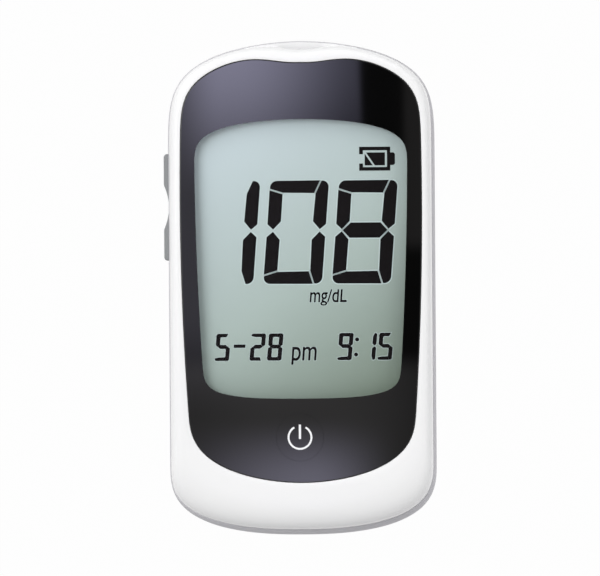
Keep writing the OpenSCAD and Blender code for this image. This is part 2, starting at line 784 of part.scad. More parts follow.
// ---- Batteries ----
cell_starts = [bay_bottom + plate + spring_length, bay_bottom + plate + slack];
module battery_cells() {
    r = cell_diameter / 2;
    nub = 1;
    skirt = cell_length - nub;
    profile = [[0, 0], [r - 1.2, 0], [r - 1, 0.3], [r - 0.3, 0.3], [r, 0.6], [r, skirt - 1.4],
        [r - 0.4, skirt - 1.1], [r, skirt - 0.8], [r, skirt - 0.3], [r - 0.4, skirt],
        [1.9, skirt], [1.9, cell_length - 0.2], [1.7, cell_length], [0, cell_length]];
    color("steelblue")
    for (i = [0, 1]) translate([(2 * i - 1) * cell_x, cell_starts[i] + (i == 1 ? cell_length : 0), cell_z])
        rotate([i == 1 ? 90 : -90, 0, 0]) rotate_extrude() polygon(profile);
}
// A conical coil along +Y
module coil(start_y, side) {
    wire = 0.25;
    turns = 3.5;
    steps = 12;
    count = turns * steps;
    height = spring_length - 2 * wire;
    rings = [for (k = [0 : count])
        let (a = 360 * k / steps, r = lerp(3.6, 2.2, k / count), rise = wire + height * k / count)
        [for (j = [0 : 4])
            let (b = -72 * j, out = r + wire * cos(b))
            [out * cos(a), rise + wire * sin(b), out * sin(a)]]];
    translate([side * cell_x, start_y, cell_z]) loft(rings);
}
module battery_springs() {
    color("silver") {
        coil(bay_bottom + plate, -1);
        translate([0, 2 * (bay_end - plate), 0]) mirror([0, 1, 0]) coil(bay_end - plate, 1);
    }
}
module battery_plates() {
    half = 4.2;
    low = cell_z - half;
    high = cell_z + half;
    color("silver") {
        block([-cell_x - half, bay_bottom, low], [cell_x + half, bay_bottom + plate, high]);
        for (s = [-1, 1]) {
            block([s * cell_x - half, bay_end - plate, low], [s * cell_x + half, bay_end, high]);
            block([s * cell_x - plate_tab, bay_end - plate, high - bite],
                [s * cell_x + plate_tab, bay_end, board_bottom]);
        }
    }
}

// ---- Screws ----
module case_screws() {
    cross = [2.2, 0.6, 1.2];
    color("silver")
    for (p = case_places) difference() {
        union() {
            peg(p, head_seat - head_height, head_radius, head_height);
            peg(p, head_seat, case_screw_radius, case_screw_length);
        }
        for (a = [0, 90]) translate([p.x, p.y, head_seat - head_height]) rotate([0, 0, a])
            cube(cross, center = true);
    }
}
module board_screws() {
    head = [1.4, 0.8];
    color("silver")
    for (p = board_places) union() {
        peg(p, board_bottom - head[1], head[0], head[1]);
        peg(p, board_bottom - bite, board_screw_radius, board_screw_top - board_bottom + bite);
    }
}

front_shell();
rear_shell();
front_panel();
display_window();
power_key();
side_key();
side_key_pin();
display_glass();
display_reflector();
display_holder();
display_pins();
circuit_board();
microcontroller();
memory_chip();
crystal();
capacitors();
buzzer();
power_switch();
power_plunger();
up_switch();
up_plunger();
down_switch();
down_plunger();
strip_guide();
strip_connector();
strip_contacts();
battery_cells();
battery_springs();
battery_plates();
battery_door();
door_hinge_pin();
case_screws();
board_screws();
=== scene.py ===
"""Dresses a hand-held blood glucose meter: its finishes, its display figures and the studio round it."""
import logging
import math
from collections.abc import Callable, Iterator
from contextlib import contextmanager
from dataclasses import dataclass, field

import bmesh
import bpy
import numpy as np
from mathutils import Euler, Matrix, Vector


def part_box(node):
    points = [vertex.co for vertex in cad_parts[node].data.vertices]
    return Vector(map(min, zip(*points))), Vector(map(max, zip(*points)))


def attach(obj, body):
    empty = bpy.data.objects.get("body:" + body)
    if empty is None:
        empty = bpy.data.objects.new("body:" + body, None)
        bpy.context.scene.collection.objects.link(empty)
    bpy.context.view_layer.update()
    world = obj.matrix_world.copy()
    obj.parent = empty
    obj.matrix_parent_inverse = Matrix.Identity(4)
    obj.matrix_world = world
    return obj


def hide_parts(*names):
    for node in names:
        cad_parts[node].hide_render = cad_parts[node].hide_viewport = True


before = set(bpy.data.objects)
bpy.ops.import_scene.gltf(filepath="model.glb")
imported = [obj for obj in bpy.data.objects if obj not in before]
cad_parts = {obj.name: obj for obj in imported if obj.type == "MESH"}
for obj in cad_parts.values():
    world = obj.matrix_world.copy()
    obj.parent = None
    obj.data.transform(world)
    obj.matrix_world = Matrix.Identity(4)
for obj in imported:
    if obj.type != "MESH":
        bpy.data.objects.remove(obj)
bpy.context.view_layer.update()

MM = 0.001
log = logging.getLogger("meter")

# Sides steeper than this against each other keep a sharp edge
SHARP_ANGLE = math.radians(32)
# Sides of a CAD node that are flatter than this against each other become one
FLAT_ANGLE = math.radians(1)
# Points nearer than this become one, in metres: in a modelled piece, and in a CAD mesh
SAME_POINT, SAME_CAD_POINT = 1e-7, 2e-6


# ---- Small tools ----------------------------------------------------------------------------


def linear(hex_colour: str) -> tuple[float, float, float, float]:
    """Turns an sRGB hex colour into the linear colour that a shader takes.

    Args:
        hex_colour: Six hex digits, such as "F2F3F5".

    Returns:
        Linear red, green, blue and an alpha of 1.
    """
    parts = [int(hex_colour[i : i + 2], 16) / 255 for i in (0, 2, 4)]
    red, green, blue = (p / 12.92 if p <= 0.04045 else ((p + 0.055) / 1.055) ** 2.4 for p in parts)
    return red, green, blue, 1.0


def lowest(node: str) -> np.ndarray:
    """The lowest corner of a CAD node, in millimetres."""
    return np.array(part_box(node)[0]) / MM


def highest(node: str) -> np.ndarray:
    """The highest corner of a CAD node, in millimetres."""
    return np.array(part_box(node)[1]) / MM


def make_piece(name: str, points: np.ndarray, faces: list[list[int]]) -> bpy.types.Object:
    """Makes a mesh object in the scene from points in millimetres.

    Args:
        name: The piece's name.
        points: One row of x, y and z for each point.
        faces: Point numbers of each face, anticlockwise seen from outside.

    Returns:
        The new object, at the origin.
    """
    mesh = bpy.data.meshes.new(name)
    mesh.from_pydata((np.asarray(points, float) * MM).tolist(), [], faces)
    mesh.update()
    piece = bpy.data.objects.new(name, mesh)
    bpy.context.scene.collection.objects.link(piece)
    return piece


def loft(name: str, rings: list[np.ndarray], closed: bool) -> bpy.types.Object:
    """Makes walls between rings of points, which run up the outside and down the inside.

    Args:
        name: The piece's name.
        rings: Arrays of the same number of points, each anticlockwise seen from above.
        closed: True joins the last ring to the first one, False closes both with a flat face.

    Returns:
        The new object.
    """
    count, size = len(rings), len(rings[0])
    faces = []
    for r in range(count if closed else count - 1):
        low, high = r * size, (r + 1) % count * size
        for i in range(size):
            j = (i + 1) % size
            faces.append([low + i, low + j, high + j, high + i])
    if not closed:
        faces.append(list(range(size - 1, -1, -1)))
        faces.append(list(range((count - 1) * size, count * size)))
    return make_piece(name, np.vstack(rings), faces)


def lifted(points: np.ndarray, height: float | np.ndarray) -> np.ndarray:
    """Flat points with a height each, as points in space."""
    return np.column_stack([points, np.broadcast_to(height, len(points))])


def circle(centre: tuple[float, float], radius: float, steps: int = 64) -> np.ndarray:
    """Points of a circle, anticlockwise."""
    turn = np.linspace(0, 2 * math.pi, steps, endpoint=False)
    return np.column_stack([centre[0] + radius * np.cos(turn), centre[1] + radius * np.sin(turn)])


def block(low: tuple[float, ...], high: tuple[float, ...]) -> bpy.types.Object:
    """A box between two corners."""
    (x0, y0, z0), (x1, y1, z1) = low, high
    base = np.array([[x0, y0], [x1, y0], [x1, y1], [x0, y1]])
    return loft("block", [lifted(base, z0), lifted(base, z1)], False)


def peg(
    centre: tuple[float, float], z: float, radius: float, height: float, steps: int = 64,
) -> bpy.types.Object:
    """An upright cylinder that stands at height z."""
    ring = circle(centre, radius, steps)
    return loft("peg", [lifted(ring, z), lifted(ring, z + height)], False)


def bar(x: float, y: float, z: float, radius: float, length: float) -> bpy.types.Object:
    """A cylinder along +X from the point x, y, z."""
    ring = circle((0.0, 0.0), radius)
    ends = [np.column_stack([np.full(len(ring), e), y + ring[:, 0], z + ring[:, 1]]) for e in (x, x + length)]
    return loft("bar", ends, False)


def ball(centre: tuple[float, float, float], radius: float) -> bpy.types.Object:
    """A sphere made of rings, which stop just short of its poles."""
    last, count = 88, 45
    rings = []
    for a in np.radians(np.linspace(-last, last, count)):
        rings.append(lifted(circle(centre[:2], radius * math.cos(a)), centre[2] + radius * math.sin(a)))
    return loft("ball", rings, False)


def baked(piece: bpy.types.Object) -> bpy.types.Object:
    """Turns a piece's modifiers into plain mesh, and removes them."""
    graph = bpy.context.evaluated_depsgraph_get()
    mesh = bpy.data.meshes.new_from_object(piece.evaluated_get(graph))
    piece.modifiers.clear()
    old, piece.data = piece.data, mesh
    mesh.name = piece.name
    bpy.data.meshes.remove(old)
    return piece


def discard(pieces: list[bpy.types.Object]) -> None:
    """Removes objects together with their meshes."""
    for piece in pieces:
        mesh = piece.data
        bpy.data.objects.remove(piece)
        bpy.data.meshes.remove(mesh)


@contextmanager
def editing(piece: bpy.types.Object) -> Iterator[bmesh.types.BMesh]:
    """Opens a piece's mesh to be changed, and writes it back afterwards."""
    work = bmesh.new()
    work.from_mesh(piece.data)
    yield work
    work.to_mesh(piece.data)
    work.free()


def carved(
    piece: bpy.types.Object, added: list[bpy.types.Object], cut: list[bpy.types.Object],
) -> bpy.types.Object:
    """Joins solids to a piece, then cuts others away from it. The tools are removed.

    Args:
        piece: A closed solid.
        added: Closed solids that become part of it.
        cut: Closed solids that are taken away.

    Returns:
        The piece, with a plain mesh.
    """
    for operation, tools in (("UNION", added), ("DIFFERENCE", cut)):
        for tool in tools:
            step = piece.modifiers.new(operation, "BOOLEAN")
            step.operation = operation
            step.solver = "MANIFOLD"
            step.object = tool
    bpy.context.view_layer.update()
    baked(piece)
    discard(added + cut)
    return piece


def smoothed(piece: bpy.types.Object, angle: float = SHARP_ANGLE) -> bpy.types.Object:
    """Shades a piece smooth, with a sharp edge wherever its sides meet more steeply than angle."""
    with editing(piece) as work:
        bmesh.ops.remove_doubles(work, verts=work.verts, dist=SAME_POINT)
        bmesh.ops.dissolve_degenerate(work, dist=SAME_POINT, edges=work.edges)
        for face in work.faces:
            face.smooth = True
        for edge in work.edges:
            edge.smooth = len(edge.link_faces) == 2 and edge.calc_face_angle(0.0) < angle
    return piece


def edged(node: str, name: str, width: float, segments: int = 2) -> bpy.types.Object:
    """A copy of a CAD node with small rounds on its sharp edges, which stands for the node.

    Args:
        node: The CAD node's name.
        name: The new piece's name.
        width: Width of the rounds, in millimetres.
        segments: Steps across each round.

    Returns:
        The new piece.
    """
    piece = bpy.data.objects.new(name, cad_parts[node].data.copy())
    bpy.context.scene.collection.objects.link(piece)
    with editing(piece) as work:
        bmesh.ops.remove_doubles(work, verts=work.verts, dist=SAME_CAD_POINT)
        bmesh.ops.dissolve_limit(work, angle_limit=FLAT_ANGLE, verts=work.verts, edges=work.edges)
    rounds = piece.modifiers.new("rounds", "BEVEL")
    rounds.width = width * MM
    rounds.segments = segments
    rounds.limit_method = "ANGLE"
    rounds.angle_limit = SHARP_ANGLE
    rounds.use_clamp_overlap = True
    bpy.context.view_layer.update()
    smoothed(baked(piece))
    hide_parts(node)
    return piece


def fitted(piece: bpy.types.Object, finish: "Finish", body: str = "case", slot: str = "") -> None:
    """Gives a finished piece its material and its body, and reports it."""
    piece.data.materials.clear()
    piece.data.materials.append(finish.material())
    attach(piece, body)
    log.info("%s: %d faces on %s", piece.name, len(piece.data.polygons), body)


def dressed(node: str, finish: "Finish") -> None:
    """Gives a CAD node that stays a finish in each of its slots."""
    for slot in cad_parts[node].material_slots:
        slot.material = finish.material()
    log.info("%s: kept from the frame", node)


def second_finish(piece: bpy.types.Object, finish: "Finish", chosen: Callable[[Vector], bool]) -> None:
    """Gives some faces of a piece another finish.

    Args:
        piece: A piece that has its first finish.
        finish: The other finish.
        chosen: Says of a face's middle, in millimetres, whether it gets the other finish.
    """
    piece.data.materials.append(finish.material())
    number = len(piece.data.materials) - 1
    for face in piece.data.polygons:
        if chosen(face.center / MM):
            face.material_index = number


def joined(piece: bpy.types.Object, others: list[bpy.types.Object]) -> bpy.types.Object:
    """Takes the meshes of other objects into a piece and removes them."""
    with editing(piece) as work:
        for part in others:
            work.from_mesh(part.data)
    discard(others)
    return piece


def outward(piece: bpy.types.Object) -> bpy.types.Object:
    """Turns all faces of closed shapes outwards."""
    with editing(piece) as work:
        bmesh.ops.recalc_face_normals(work, faces=work.faces)
    return piece


# ---- Finishes -------------------------------------------------------------------------------


def add(tree: bpy.types.NodeTree, kind: str, settings: dict | None = None, **links) -> bpy.types.Node:
    """Adds a node to a tree, with its settings and its links.

    Args:
        tree: The tree that gets the node.
        kind: The node's type name.
        settings: Attributes of the node by name.
        links: Inputs by name, with blanks as underscores. A value is set on the socket, and a
            socket or a node is linked to it. A name such as input_1 is an input's number.

    Returns:
        The new node.
    """
    node = tree.nodes.new(kind)
    for name, value in (settings or {}).items():
        setattr(node, name, value)
    for name, value in links.items():
        number = name.removeprefix("input_")
        socket = node.inputs[int(number) if number.isdigit() else name.replace("_", " ")]
        if isinstance(value, bpy.types.Node):
            value = value.outputs[0]
        if isinstance(value, bpy.types.NodeSocket):
            tree.links.new(value, socket)
        else:
            socket.default_value = value
    return node


def sum_of(tree: bpy.types.NodeTree, operation: str, *values: object) -> bpy.types.Node:
    """Adds a math node on values, sockets or nodes."""
    links = {f"input_{i}": value for i, value in enumerate(values)}
    return add(tree, "ShaderNodeMath", {"operation": operation}, **links)


def reach_along(
    tree: bpy.types.NodeTree, place: object, way: tuple[float, float],
) -> bpy.types.NodeSocket:
    """How far a place lies along a level direction."""
    product = add(
        tree, "ShaderNodeVectorMath", {"operation": "DOT_PRODUCT"}, input_0=place, input_1=(*way, 0.0),
    )
    return product.outputs["Value"]


def blank_tree(owner: bpy.types.Material | bpy.types.World) -> bpy.types.NodeTree:
    """The node tree of a material or a world, without its first nodes."""
    owner.use_nodes = True
    owner.node_tree.nodes.clear()
    return owner.node_tree


@dataclass(frozen=True)
class Finish:
    """A surface: a base colour that drifts a little, and a fine bump and roughness from noise."""

    name: str
    colour: str
    drift: str = ""  # the colour that it drifts to
    roughness: float = 0.4
    spread: float = 0.04  # how far the grain moves the roughness up and down
    metallic: float = 0.0
    ior: float = 1.5
    grain: float = 0.6  # size of the grain, in millimetres
    bump: float = 0.02  # depth of the grain, in millimetres
    patch: float = 12.0  # size of the patches of drifting colour, in millimetres

    def noise(self, tree: bpy.types.NodeTree, size: float, detail: float = 2.0) -> bpy.types.Node:
        """Noise on the piece's own coordinates, with features of a size in millimetres."""
        place = add(tree, "ShaderNodeTexCoord").outputs["Object"]
        return add(tree, "ShaderNodeTexNoise", Vector=place, Scale=1 / (size * MM), Detail=detail)

    def colouring(self, tree: bpy.types.NodeTree) -> bpy.types.Node | tuple[float, ...]:
        """The base colour: patches that drift from one colour to the other."""
        mix = add(
            tree, "ShaderNodeMix", {"data_type": "RGBA"}, Factor=self.noise(tree, self.patch),
            input_6=linear(self.colour), input_7=linear(self.drift or self.colour),
        )
        return mix.outputs[2]

    def surface(self, tree: bpy.types.NodeTree) -> bpy.types.Node:
        """The surface shader, with its grain."""
        grain = self.noise(tree, self.grain)
        rough = add(
            tree, "ShaderNodeMapRange", Value=grain,
            To_Min=max(0.0, self.roughness - self.spread), To_Max=self.roughness + self.spread,
        )
        relief = add(tree, "ShaderNodeBump", Height=grain, Strength=1.0, Distance=self.bump * MM)
        return add(
            tree, "ShaderNodeBsdfPrincipled", Base_Color=self.colouring(tree), Roughness=rough,
            Normal=relief, Metallic=self.metallic, IOR=self.ior,
        )

    def material(self) -> bpy.types.Material:
        """The material, made once and then shared by every piece that has it."""
        found = bpy.data.materials.get(self.name)
        if found:
            return found
        material = bpy.data.materials.new(self.name)
        tree = blank_tree(material)
        add(tree, "ShaderNodeOutputMaterial", Surface=self.surface(tree))
        return material


@dataclass(frozen=True)
class ClearFinish(Finish):
    """A clear sheet: what lies below shows through, under the gloss of its face."""

    def surface(self, tree: bpy.types.NodeTree) -> bpy.types.Node:
        """A clear shader mixed with gloss by the angle of sight."""
        clear = add(tree, "ShaderNodeBsdfTransparent", Color=linear(self.colour))
        gloss = add(tree, "ShaderNodeBsdfGlossy", Roughness=self.roughness)
        edge = add(tree, "ShaderNodeFresnel", IOR=self.ior)
        # Only the face that the light enters by shines, or the far one would mirror at low angles
        back = add(tree, "ShaderNodeNewGeometry").outputs["Backfacing"]
        share = sum_of(tree, "MULTIPLY", edge, sum_of(tree, "SUBTRACT", 1.0, back))
        return add(tree, "ShaderNodeMixShader", input_0=share, input_1=clear, input_2=gloss)


@dataclass(frozen=True)
class ShadedDisplayFinish(Finish):
    """The polariser over the display, with painted shade: its tone falls off along a slant from corner to
    corner, lighter at the upper left and darker to the lower right.
    """

    middle: str = ""  # the tone halfway along
    slant: tuple[float, float] = (0.545, -0.839)  # its direction
    reach: float = 30.0  # half length of the slant, in millimetres
    centre: float = 0.0  # where along the slant the middle tone lies, in millimetres

    def colouring(self, tree: bpy.types.NodeTree) -> bpy.types.Node | tuple[float, ...]:
        """The base colour with its painted shade, lighter at the upper left corner and darker towards the
        lower right one.
        """
        place = add(tree, "ShaderNodeTexCoord").outputs["Object"]
        # The tone along the slant is painted shade, lighter at the upper left and darker towards the lower
        # right
        share = add(
            tree, "ShaderNodeMapRange", Value=reach_along(tree, place, self.slant),
            From_Min=(self.centre - self.reach) * MM, From_Max=(self.centre + self.reach) * MM,
        )
        ramp = add(tree, "ShaderNodeValToRGB", Fac=share)
        stops = ramp.color_ramp.elements
        stops[0].color, stops[1].color = linear(self.colour), linear(self.drift)
        stops.new(0.5).color = linear(self.middle)
        return ramp.outputs[0]


# ABS, injection moulded in a polished tool: bright white, a clear gloss, a trace of flow ripple
WHITE_ABS = Finish(
    "white ABS, polished moulding", "EFEFEF", "ECECED", 0.16, 0.02, ior=1.25, grain=9.0, bump=0.0006,
)
# ABS for the rear shell and its door, from a matt tool, with little gloss: its pale grey is painted shade on
# the white shell, which darkens its rim
SHELL_ABS_PAINTED_SHADE = Finish(
    "rear shell ABS, grey painted shade", "C6C5C9", "C3C2C6", 0.5, 0.05, ior=1.25, grain=3.0, bump=0.0008,
)
# Acrylic printed black on its back: deep black with a mirror gloss
BLACK_ACRYLIC = Finish(
    "black-backed acrylic", "070707", "090909", 0.03, 0.01, ior=1.49, grain=12.0, bump=0.0002,
)
# Clear acrylic under an anti-glare coat, which takes most of the gloss off the window
CLEAR_ACRYLIC = ClearFinish("coated clear acrylic", "FAFCFC", "", 0.03, ior=1.12)
# A polarising film on the display's glass: pale grey green, matt like fine etched glass, with painted shade
# that darkens it from the upper left to the lower right
POLARISER_PAINTED_SHADE = ShadedDisplayFinish(
    "display polariser film with painted shade", "D2DADE", "7A8474", 0.42, 0.05, ior=1.2, grain=0.25, bump=0.002,
    middle="B7C1BC",
)
# The display's liquid crystal where it is switched on: nearly black, a little warm
CRYSTAL_INK = Finish(
    "switched liquid crystal", "171314", "1A1617", 0.45, 0.05, ior=1.12, grain=0.3, bump=0.002,
)
# A painted halo of light: the paler line round each switched figure's edge against the film
CRYSTAL_PAINTED_HALO = Finish(
    "liquid crystal painted halo", "D2DBDB", "CDD7D6", 0.45, 0.05, ior=1.2, grain=0.3, bump=0.002,
)
# Thermoplastic rubber, moulded in a spark-eroded tool: mid grey, satin, with a fine grain
GREY_RUBBER = Finish(
    "grey thermoplastic rubber", "8B8D8F", "858789", 0.55, 0.08, ior=1.36, grain=0.35, bump=0.02,
)
# White pad-printing ink on the key: flat and slightly raised
WHITE_INK = Finish("white pad-printing ink", "F4F5F6", "EEEFF0", 0.38, 0.05, grain=0.25, bump=0.004)
# ABS, unpolished moulding, used inside the case: off-white and matt
PALE_ABS = Finish("off-white ABS, matt moulding", "DCDCD6", "D4D4CE", 0.55, 0.08, grain=0.5, bump=0.01)
# Nickel-plated steel: bright, with faint drawing lines
NICKEL_STEEL = Finish(
    "nickel-plated steel", "C8C7C4", "BBBAB6", 0.28, 0.1, metallic=1.0, grain=0.4, bump=0.006, patch=4.0,
)
# Hard gold over nickel: warm yellow metal
GOLD_PLATE = Finish("hard gold plating", "D9B25F", "CFA552", 0.3, 0.08, metallic=1.0, grain=0.3, bump=0.004)
# Glass-fibre epoxy under green solder mask: glossy green, with the weave faintly telegraphing
GREEN_MASK = Finish("green solder mask on glass epoxy", "1F5B3A", "17492E", 0.3, 0.08, grain=0.7, bump=0.01)
# Epoxy moulding compound of the chips and switches: near black, matt, gritty
MOULD_EPOXY = Finish("black epoxy moulding compound", "1B1B1D", "232325", 0.62, 0.1, grain=0.2, bump=0.012)
# Fired ceramic of the capacitors: tan, slightly mottled
TAN_CERAMIC = Finish("fired capacitor ceramic", "B08F62", "9C7C52", 0.5, 0.1, grain=0.4, bump=0.01, patch=0.8)
# The display's glass seen from the side: clear, with the green tint of soda-lime glass
CELL_GLASS = Finish(
    "soda-lime display glass", "8FA39B", "879B93", 0.12, 0.04, ior=1.52, grain=2.0, bump=0.001,
)
# A white film with a pearly face, behind the display's glass
REFLECTOR = Finish("white reflector film", "E2E4E2", "DADCDA", 0.5, 0.1, grain=0.3, bump=0.003)
# The cells' sleeves: shrunk PVC, satin, in a dark blue grey, with a plain copper band at one end
CELL_SLEEVE = Finish("shrunk PVC cell sleeve", "35424E", "2F3B46", 0.34, 0.08, grain=0.9, bump=0.006)
SLEEVE_BAND = Finish(
    "copper band of the sleeve", "B07A4E", "A87247", 0.3, 0.08, metallic=0.7, grain=0.9, bump=0.006,
)


# ---- Outlines -------------------------------------------------------------------------------


@dataclass(frozen=True)
class Cap:
    """One end of an outline: a quarter of a superellipse to each side."""

    edge: float  # y of the end
    rise: float  # from the widest line to the end; negative at the bottom end
    side_power: float
    end_power: float


@dataclass(frozen=True)
class Outline:
    """Two caps on sides that flare towards the top and bow outwards."""

    half: float
    flare: float  # how much wider each side is for each millimetre up
    bow: float
    top: Cap
    bottom: Cap
    dip: float = 0.0  # depth of the dip in the middle of the top end
    dip_reach: float = 8.1
    cap_steps: int = 120
    side_steps: int = 24

    def half_at(self, y: np.ndarray | float) -> np.ndarray | float:
        """Half the width at a height on the outline."""
        return self.half + self.flare * y - self.bow * y * y

    def cap_points(self, cap: Cap, start: float) -> np.ndarray:
        """Points of one cap, from its right-hand or left-hand end.

        Args:
            cap: The cap.
            start: Angle of its first point, in degrees.

        Returns:
            The points, anticlockwise.
        """
        turn = np.radians(start + 180 * np.arange(self.cap_steps + 1) / self.cap_steps)
        c, s = np.abs(np.cos(turn)), np.abs(np.sin(turn))
        n, m = cap.side_power, cap.end_power
        # Newton's method, from a first guess outside the line
        guess, tries = 1.3, 20
        reach = np.full(len(turn), guess)
        for _ in range(tries):
            side, end = (reach * c) ** n, (reach * s) ** m
            reach -= (side + end - 1) * reach / (n * side + m * end)
        y = cap.edge - cap.rise + cap.rise * reach * s
        x = np.sign(np.cos(turn)) * self.half_at(y) * reach * c
        if cap.rise > 0:
            y = y - self.dip * np.exp(-((x / self.dip_reach) ** 2))
        return np.column_stack([x, y])

    def points(self) -> np.ndarray:
        """The whole outline, anticlockwise from the right-hand end of the top cap."""
        share = np.arange(1, self.side_steps) / self.side_steps
        high, low = self.top.edge - self.top.rise, self.bottom.edge - self.bottom.rise
        y = high + (low - high) * share
        left = np.column_stack([-self.half_at(y), y])
        right = np.column_stack([self.half_at(y), y])[::-1]
        return np.vstack([self.cap_points(self.top, 0), left, self.cap_points(self.bottom, 180), right])


def directions(points: np.ndarray) -> np.ndarray:
    """The way that an outline runs at each of its points, as unit vectors."""
    along = np.roll(points, -1, axis=0) - np.roll(points, 1, axis=0)
    return along / np.linalg.norm(along, axis=1)[:, None]


def inset(points: np.ndarray, distance: float | np.ndarray) -> np.ndarray:
    """The outline moved inwards along its normals, or outwards by a negative distance."""
    along = directions(points)
    inward = np.column_stack([-along[:, 1], along[:, 0]])
    return points + inward * np.reshape(distance, (-1, 1))


def scooped(points: np.ndarray, depth: float, spread: float) -> np.ndarray:
    """The outline with its top end pressed in over the strip port."""
    press = np.where(points[:, 1] > 0, depth * np.exp(-((points[:, 0] / spread) ** 2)), 0)
    return np.column_stack([points[:, 0], points[:, 1] - press])


# Middles of the screws that close the case, of those that hold the board, and of the side key's pin
CASE_PLACES = ((-14.6, 39.3), (14.6, 39.3), (-16.35, -36.1), (16.35, -36.1))
BOARD_PLACES = ((-8.8, 39.2), (8.8, 39.2), (-18.4, -28.9), (18.4, -28.9))
KEY_PIVOT = (-22.2, 16.0)
# How far a cutting tool reaches past what it cuts, in millimetres
PAST = 1.0


# Rise, side power and end power of an outline's top cap and of its bottom cap
Caps = tuple[tuple[float, float, float], tuple[float, float, float]]


@dataclass(frozen=True)
class Form:
    """The meter's main sizes, in millimetres, and the lines and surfaces worked out from them."""

    body_half: float = 26.2
    end_y: float = 48.5
    wall: float = 1.5
    parting: float = 10.5  # height where the two shells meet
    rim_step: float = 0.32  # how far the rear shell stands out round the front one, at the least
    rim_more: float = 0.78  # how much more the step is where the rim is widest
    rim_way: tuple[float, float] = (0.34, -0.94)  # where that is, seen from the middle
    rim_blend: float = 0.02  # how softly the step grows
    groove: float = 0.12  # width of the gap at the parting
    rim_drop: float = 3.0  # height of the round below the parting
    back_edge: tuple[float, float] = (5.5, 7.0)  # width and height of the back's curved edge
    crown_radius: float = 900.0
    crown_shift: float = 1.4  # how far below the panel's middle the crown is highest
    panel_thickness: float = 1.2
    panel_gap: float = 0.04
    glue: float = 0.05
    deck: float = 0.9  # thickness of the shell under the panel
    bezel: tuple[float, float, float] = (2.75, 1.45, 10.3)  # beside, above, below the panel
    border: tuple[float, float, float] = (3.2, 14.0, 16.5)  # beside, above, below the window
    body_caps: Caps = ((25.6, 1.83, 4.98), (-14.3, 2.39, 3.09))
    panel_caps: Caps = ((19.9, 1.35, 4.47), (-13.8, 1.91, 2.95))
    window_caps: Caps = ((9.7, 2.05, 3.94), (-10.7, 2.9, 7.5))
    panel_sides: tuple[float, float] = (0.028, 0.0008)  # flare and bow
    window_sides: tuple[float, float] = (0.041, 0.0007)
    panel_dip: float = 2.85
    front_scoop: tuple[float, float] = (1.3, 6.0)  # depth and spread over the strip port
    lip_scoop: tuple[float, float] = (3.0, 8.0)
    edge_power: float = 2.25  # how square the back's edge is
    front_power: float = 3.3  # and the front's
    glass_air: float = 0.26  # between the display's glass and the window, at its corners
    glass_margin: float = 0.95
    glass_ledge: float = 2.85
    board_top: float = 13.75

    @property
    def body(self) -> Outline:
        """The rear shell's rim."""
        top, bottom = self.body_caps
        return Outline(self.body_half, 0.0, 0.0, Cap(self.end_y, *top), Cap(-self.end_y, *bottom))

    @property
    def panel(self) -> Outline:
        """The black panel."""
        (side, above, below), (top, bottom) = self.bezel, self.panel_caps
        return Outline(
            self.body_half - side, *self.panel_sides, Cap(self.end_y - above, *top),
            Cap(below - self.end_y, *bottom), self.panel_dip,
        )

    @property
    def window(self) -> Outline:
        """The window in the panel."""
        (side, above, below), (top, bottom) = self.border, self.window_caps
        return Outline(
            self.panel.half - side, *self.window_sides, Cap(self.panel.top.edge - above, *top),
            Cap(self.panel.bottom.edge + below, *bottom),
        )

    @property
    def pocket_line(self) -> np.ndarray:
        """The wall round the panel."""
        return inset(self.panel.points(), -self.panel_gap)

    @property
    def front_line(self) -> np.ndarray:
        """The front shell's foot, on the parting."""
        return scooped(inset(self.body.points(), self.rim), *self.front_scoop)

    @property
    def rim(self) -> np.ndarray:
        """How wide the rear shell's rim shows outside the front shell, at each point of the body."""
        along = directions(self.body.points())
        facing = along[:, 1] * self.rim_way[0] - along[:, 0] * self.rim_way[1]
        return self.rim_step + self.rim_more * (facing + np.sqrt(facing**2 + self.rim_blend)) / 2

    @property
    def lip_line(self) -> np.ndarray:
        """The inner edge of the rear shell's rim."""
        return scooped(inset(self.body.points(), self.wall), *self.lip_scoop)

    @property
    def crown_y(self) -> float:
        """Where along the body the crown is highest."""
        return (self.panel.top.edge + self.panel.bottom.edge) / 2 - self.crown_shift

    def sag(self, x: np.ndarray | float, y: np.ndarray | float) -> np.ndarray | float:
        """How far the crown has dropped at a point."""
        radius = self.crown_radius
        return radius - np.sqrt(radius**2 - x * x - (y - self.crown_y) ** 2)

    @property
    def height(self) -> float:
        """The crown's highest point, from the glass below it."""
        corner = self.window.half_at(self.window.top.edge - self.window.top.rise) + self.glass_margin
        top = self.window.top.edge + self.glass_ledge
        return highest("display_glass")[2] + self.glass_air + self.panel_thickness + self.sag(corner, top)

    def crown(self, points: np.ndarray, below: float = 0.0) -> np.ndarray:
        """Flat points laid on the crown, or a distance below it."""
        return lifted(points, self.height - self.sag(points[:, 0], points[:, 1]) - below)

    def true_normals(self, piece: bpy.types.Object) -> bpy.types.Object:
        """Gives a piece the crown's own normals wherever its face lies on the crown."""
        near, upward = 0.004, 0.8  # millimetres from the crown, and how far up a normal points
        mesh = piece.data
        points = np.array([vertex.co for vertex in mesh.vertices]) / MM
        corners = np.array([loop.vertex_index for loop in mesh.loops])
        normals = np.array([normal.vector for normal in mesh.corner_normals])
        drop = self.sag(points[:, 0], points[:, 1])
        rise = np.column_stack([points[:, 0], points[:, 1] - self.crown_y, self.crown_radius - drop])
        level = np.abs(self.height - drop - points[:, 2]) < near
        chosen = level[corners] & (normals[:, 2] > upward)
        normals[chosen] = (rise / self.crown_radius)[corners][chosen]
        mesh.normals_split_custom_set(normals.tolist())
        return piece

    def edge(self, angle: float, power: float = 0.0) -> tuple[float, float]:
        """How far in and how far up a curved edge has come, each from 0 to 1.

        Args:
            angle: From 0 at its foot to 90 degrees at its top.
            power: How square the edge is, or 0 for the back's own.

        Returns:
            The share of its width and the share of its height.
        """
        turn, share = math.radians(angle), 2 / (power or self.edge_power)
        return 1 - math.cos(turn) ** share, math.sin(turn) ** share


# ---- The two shells -------------------------------------------------------------------------


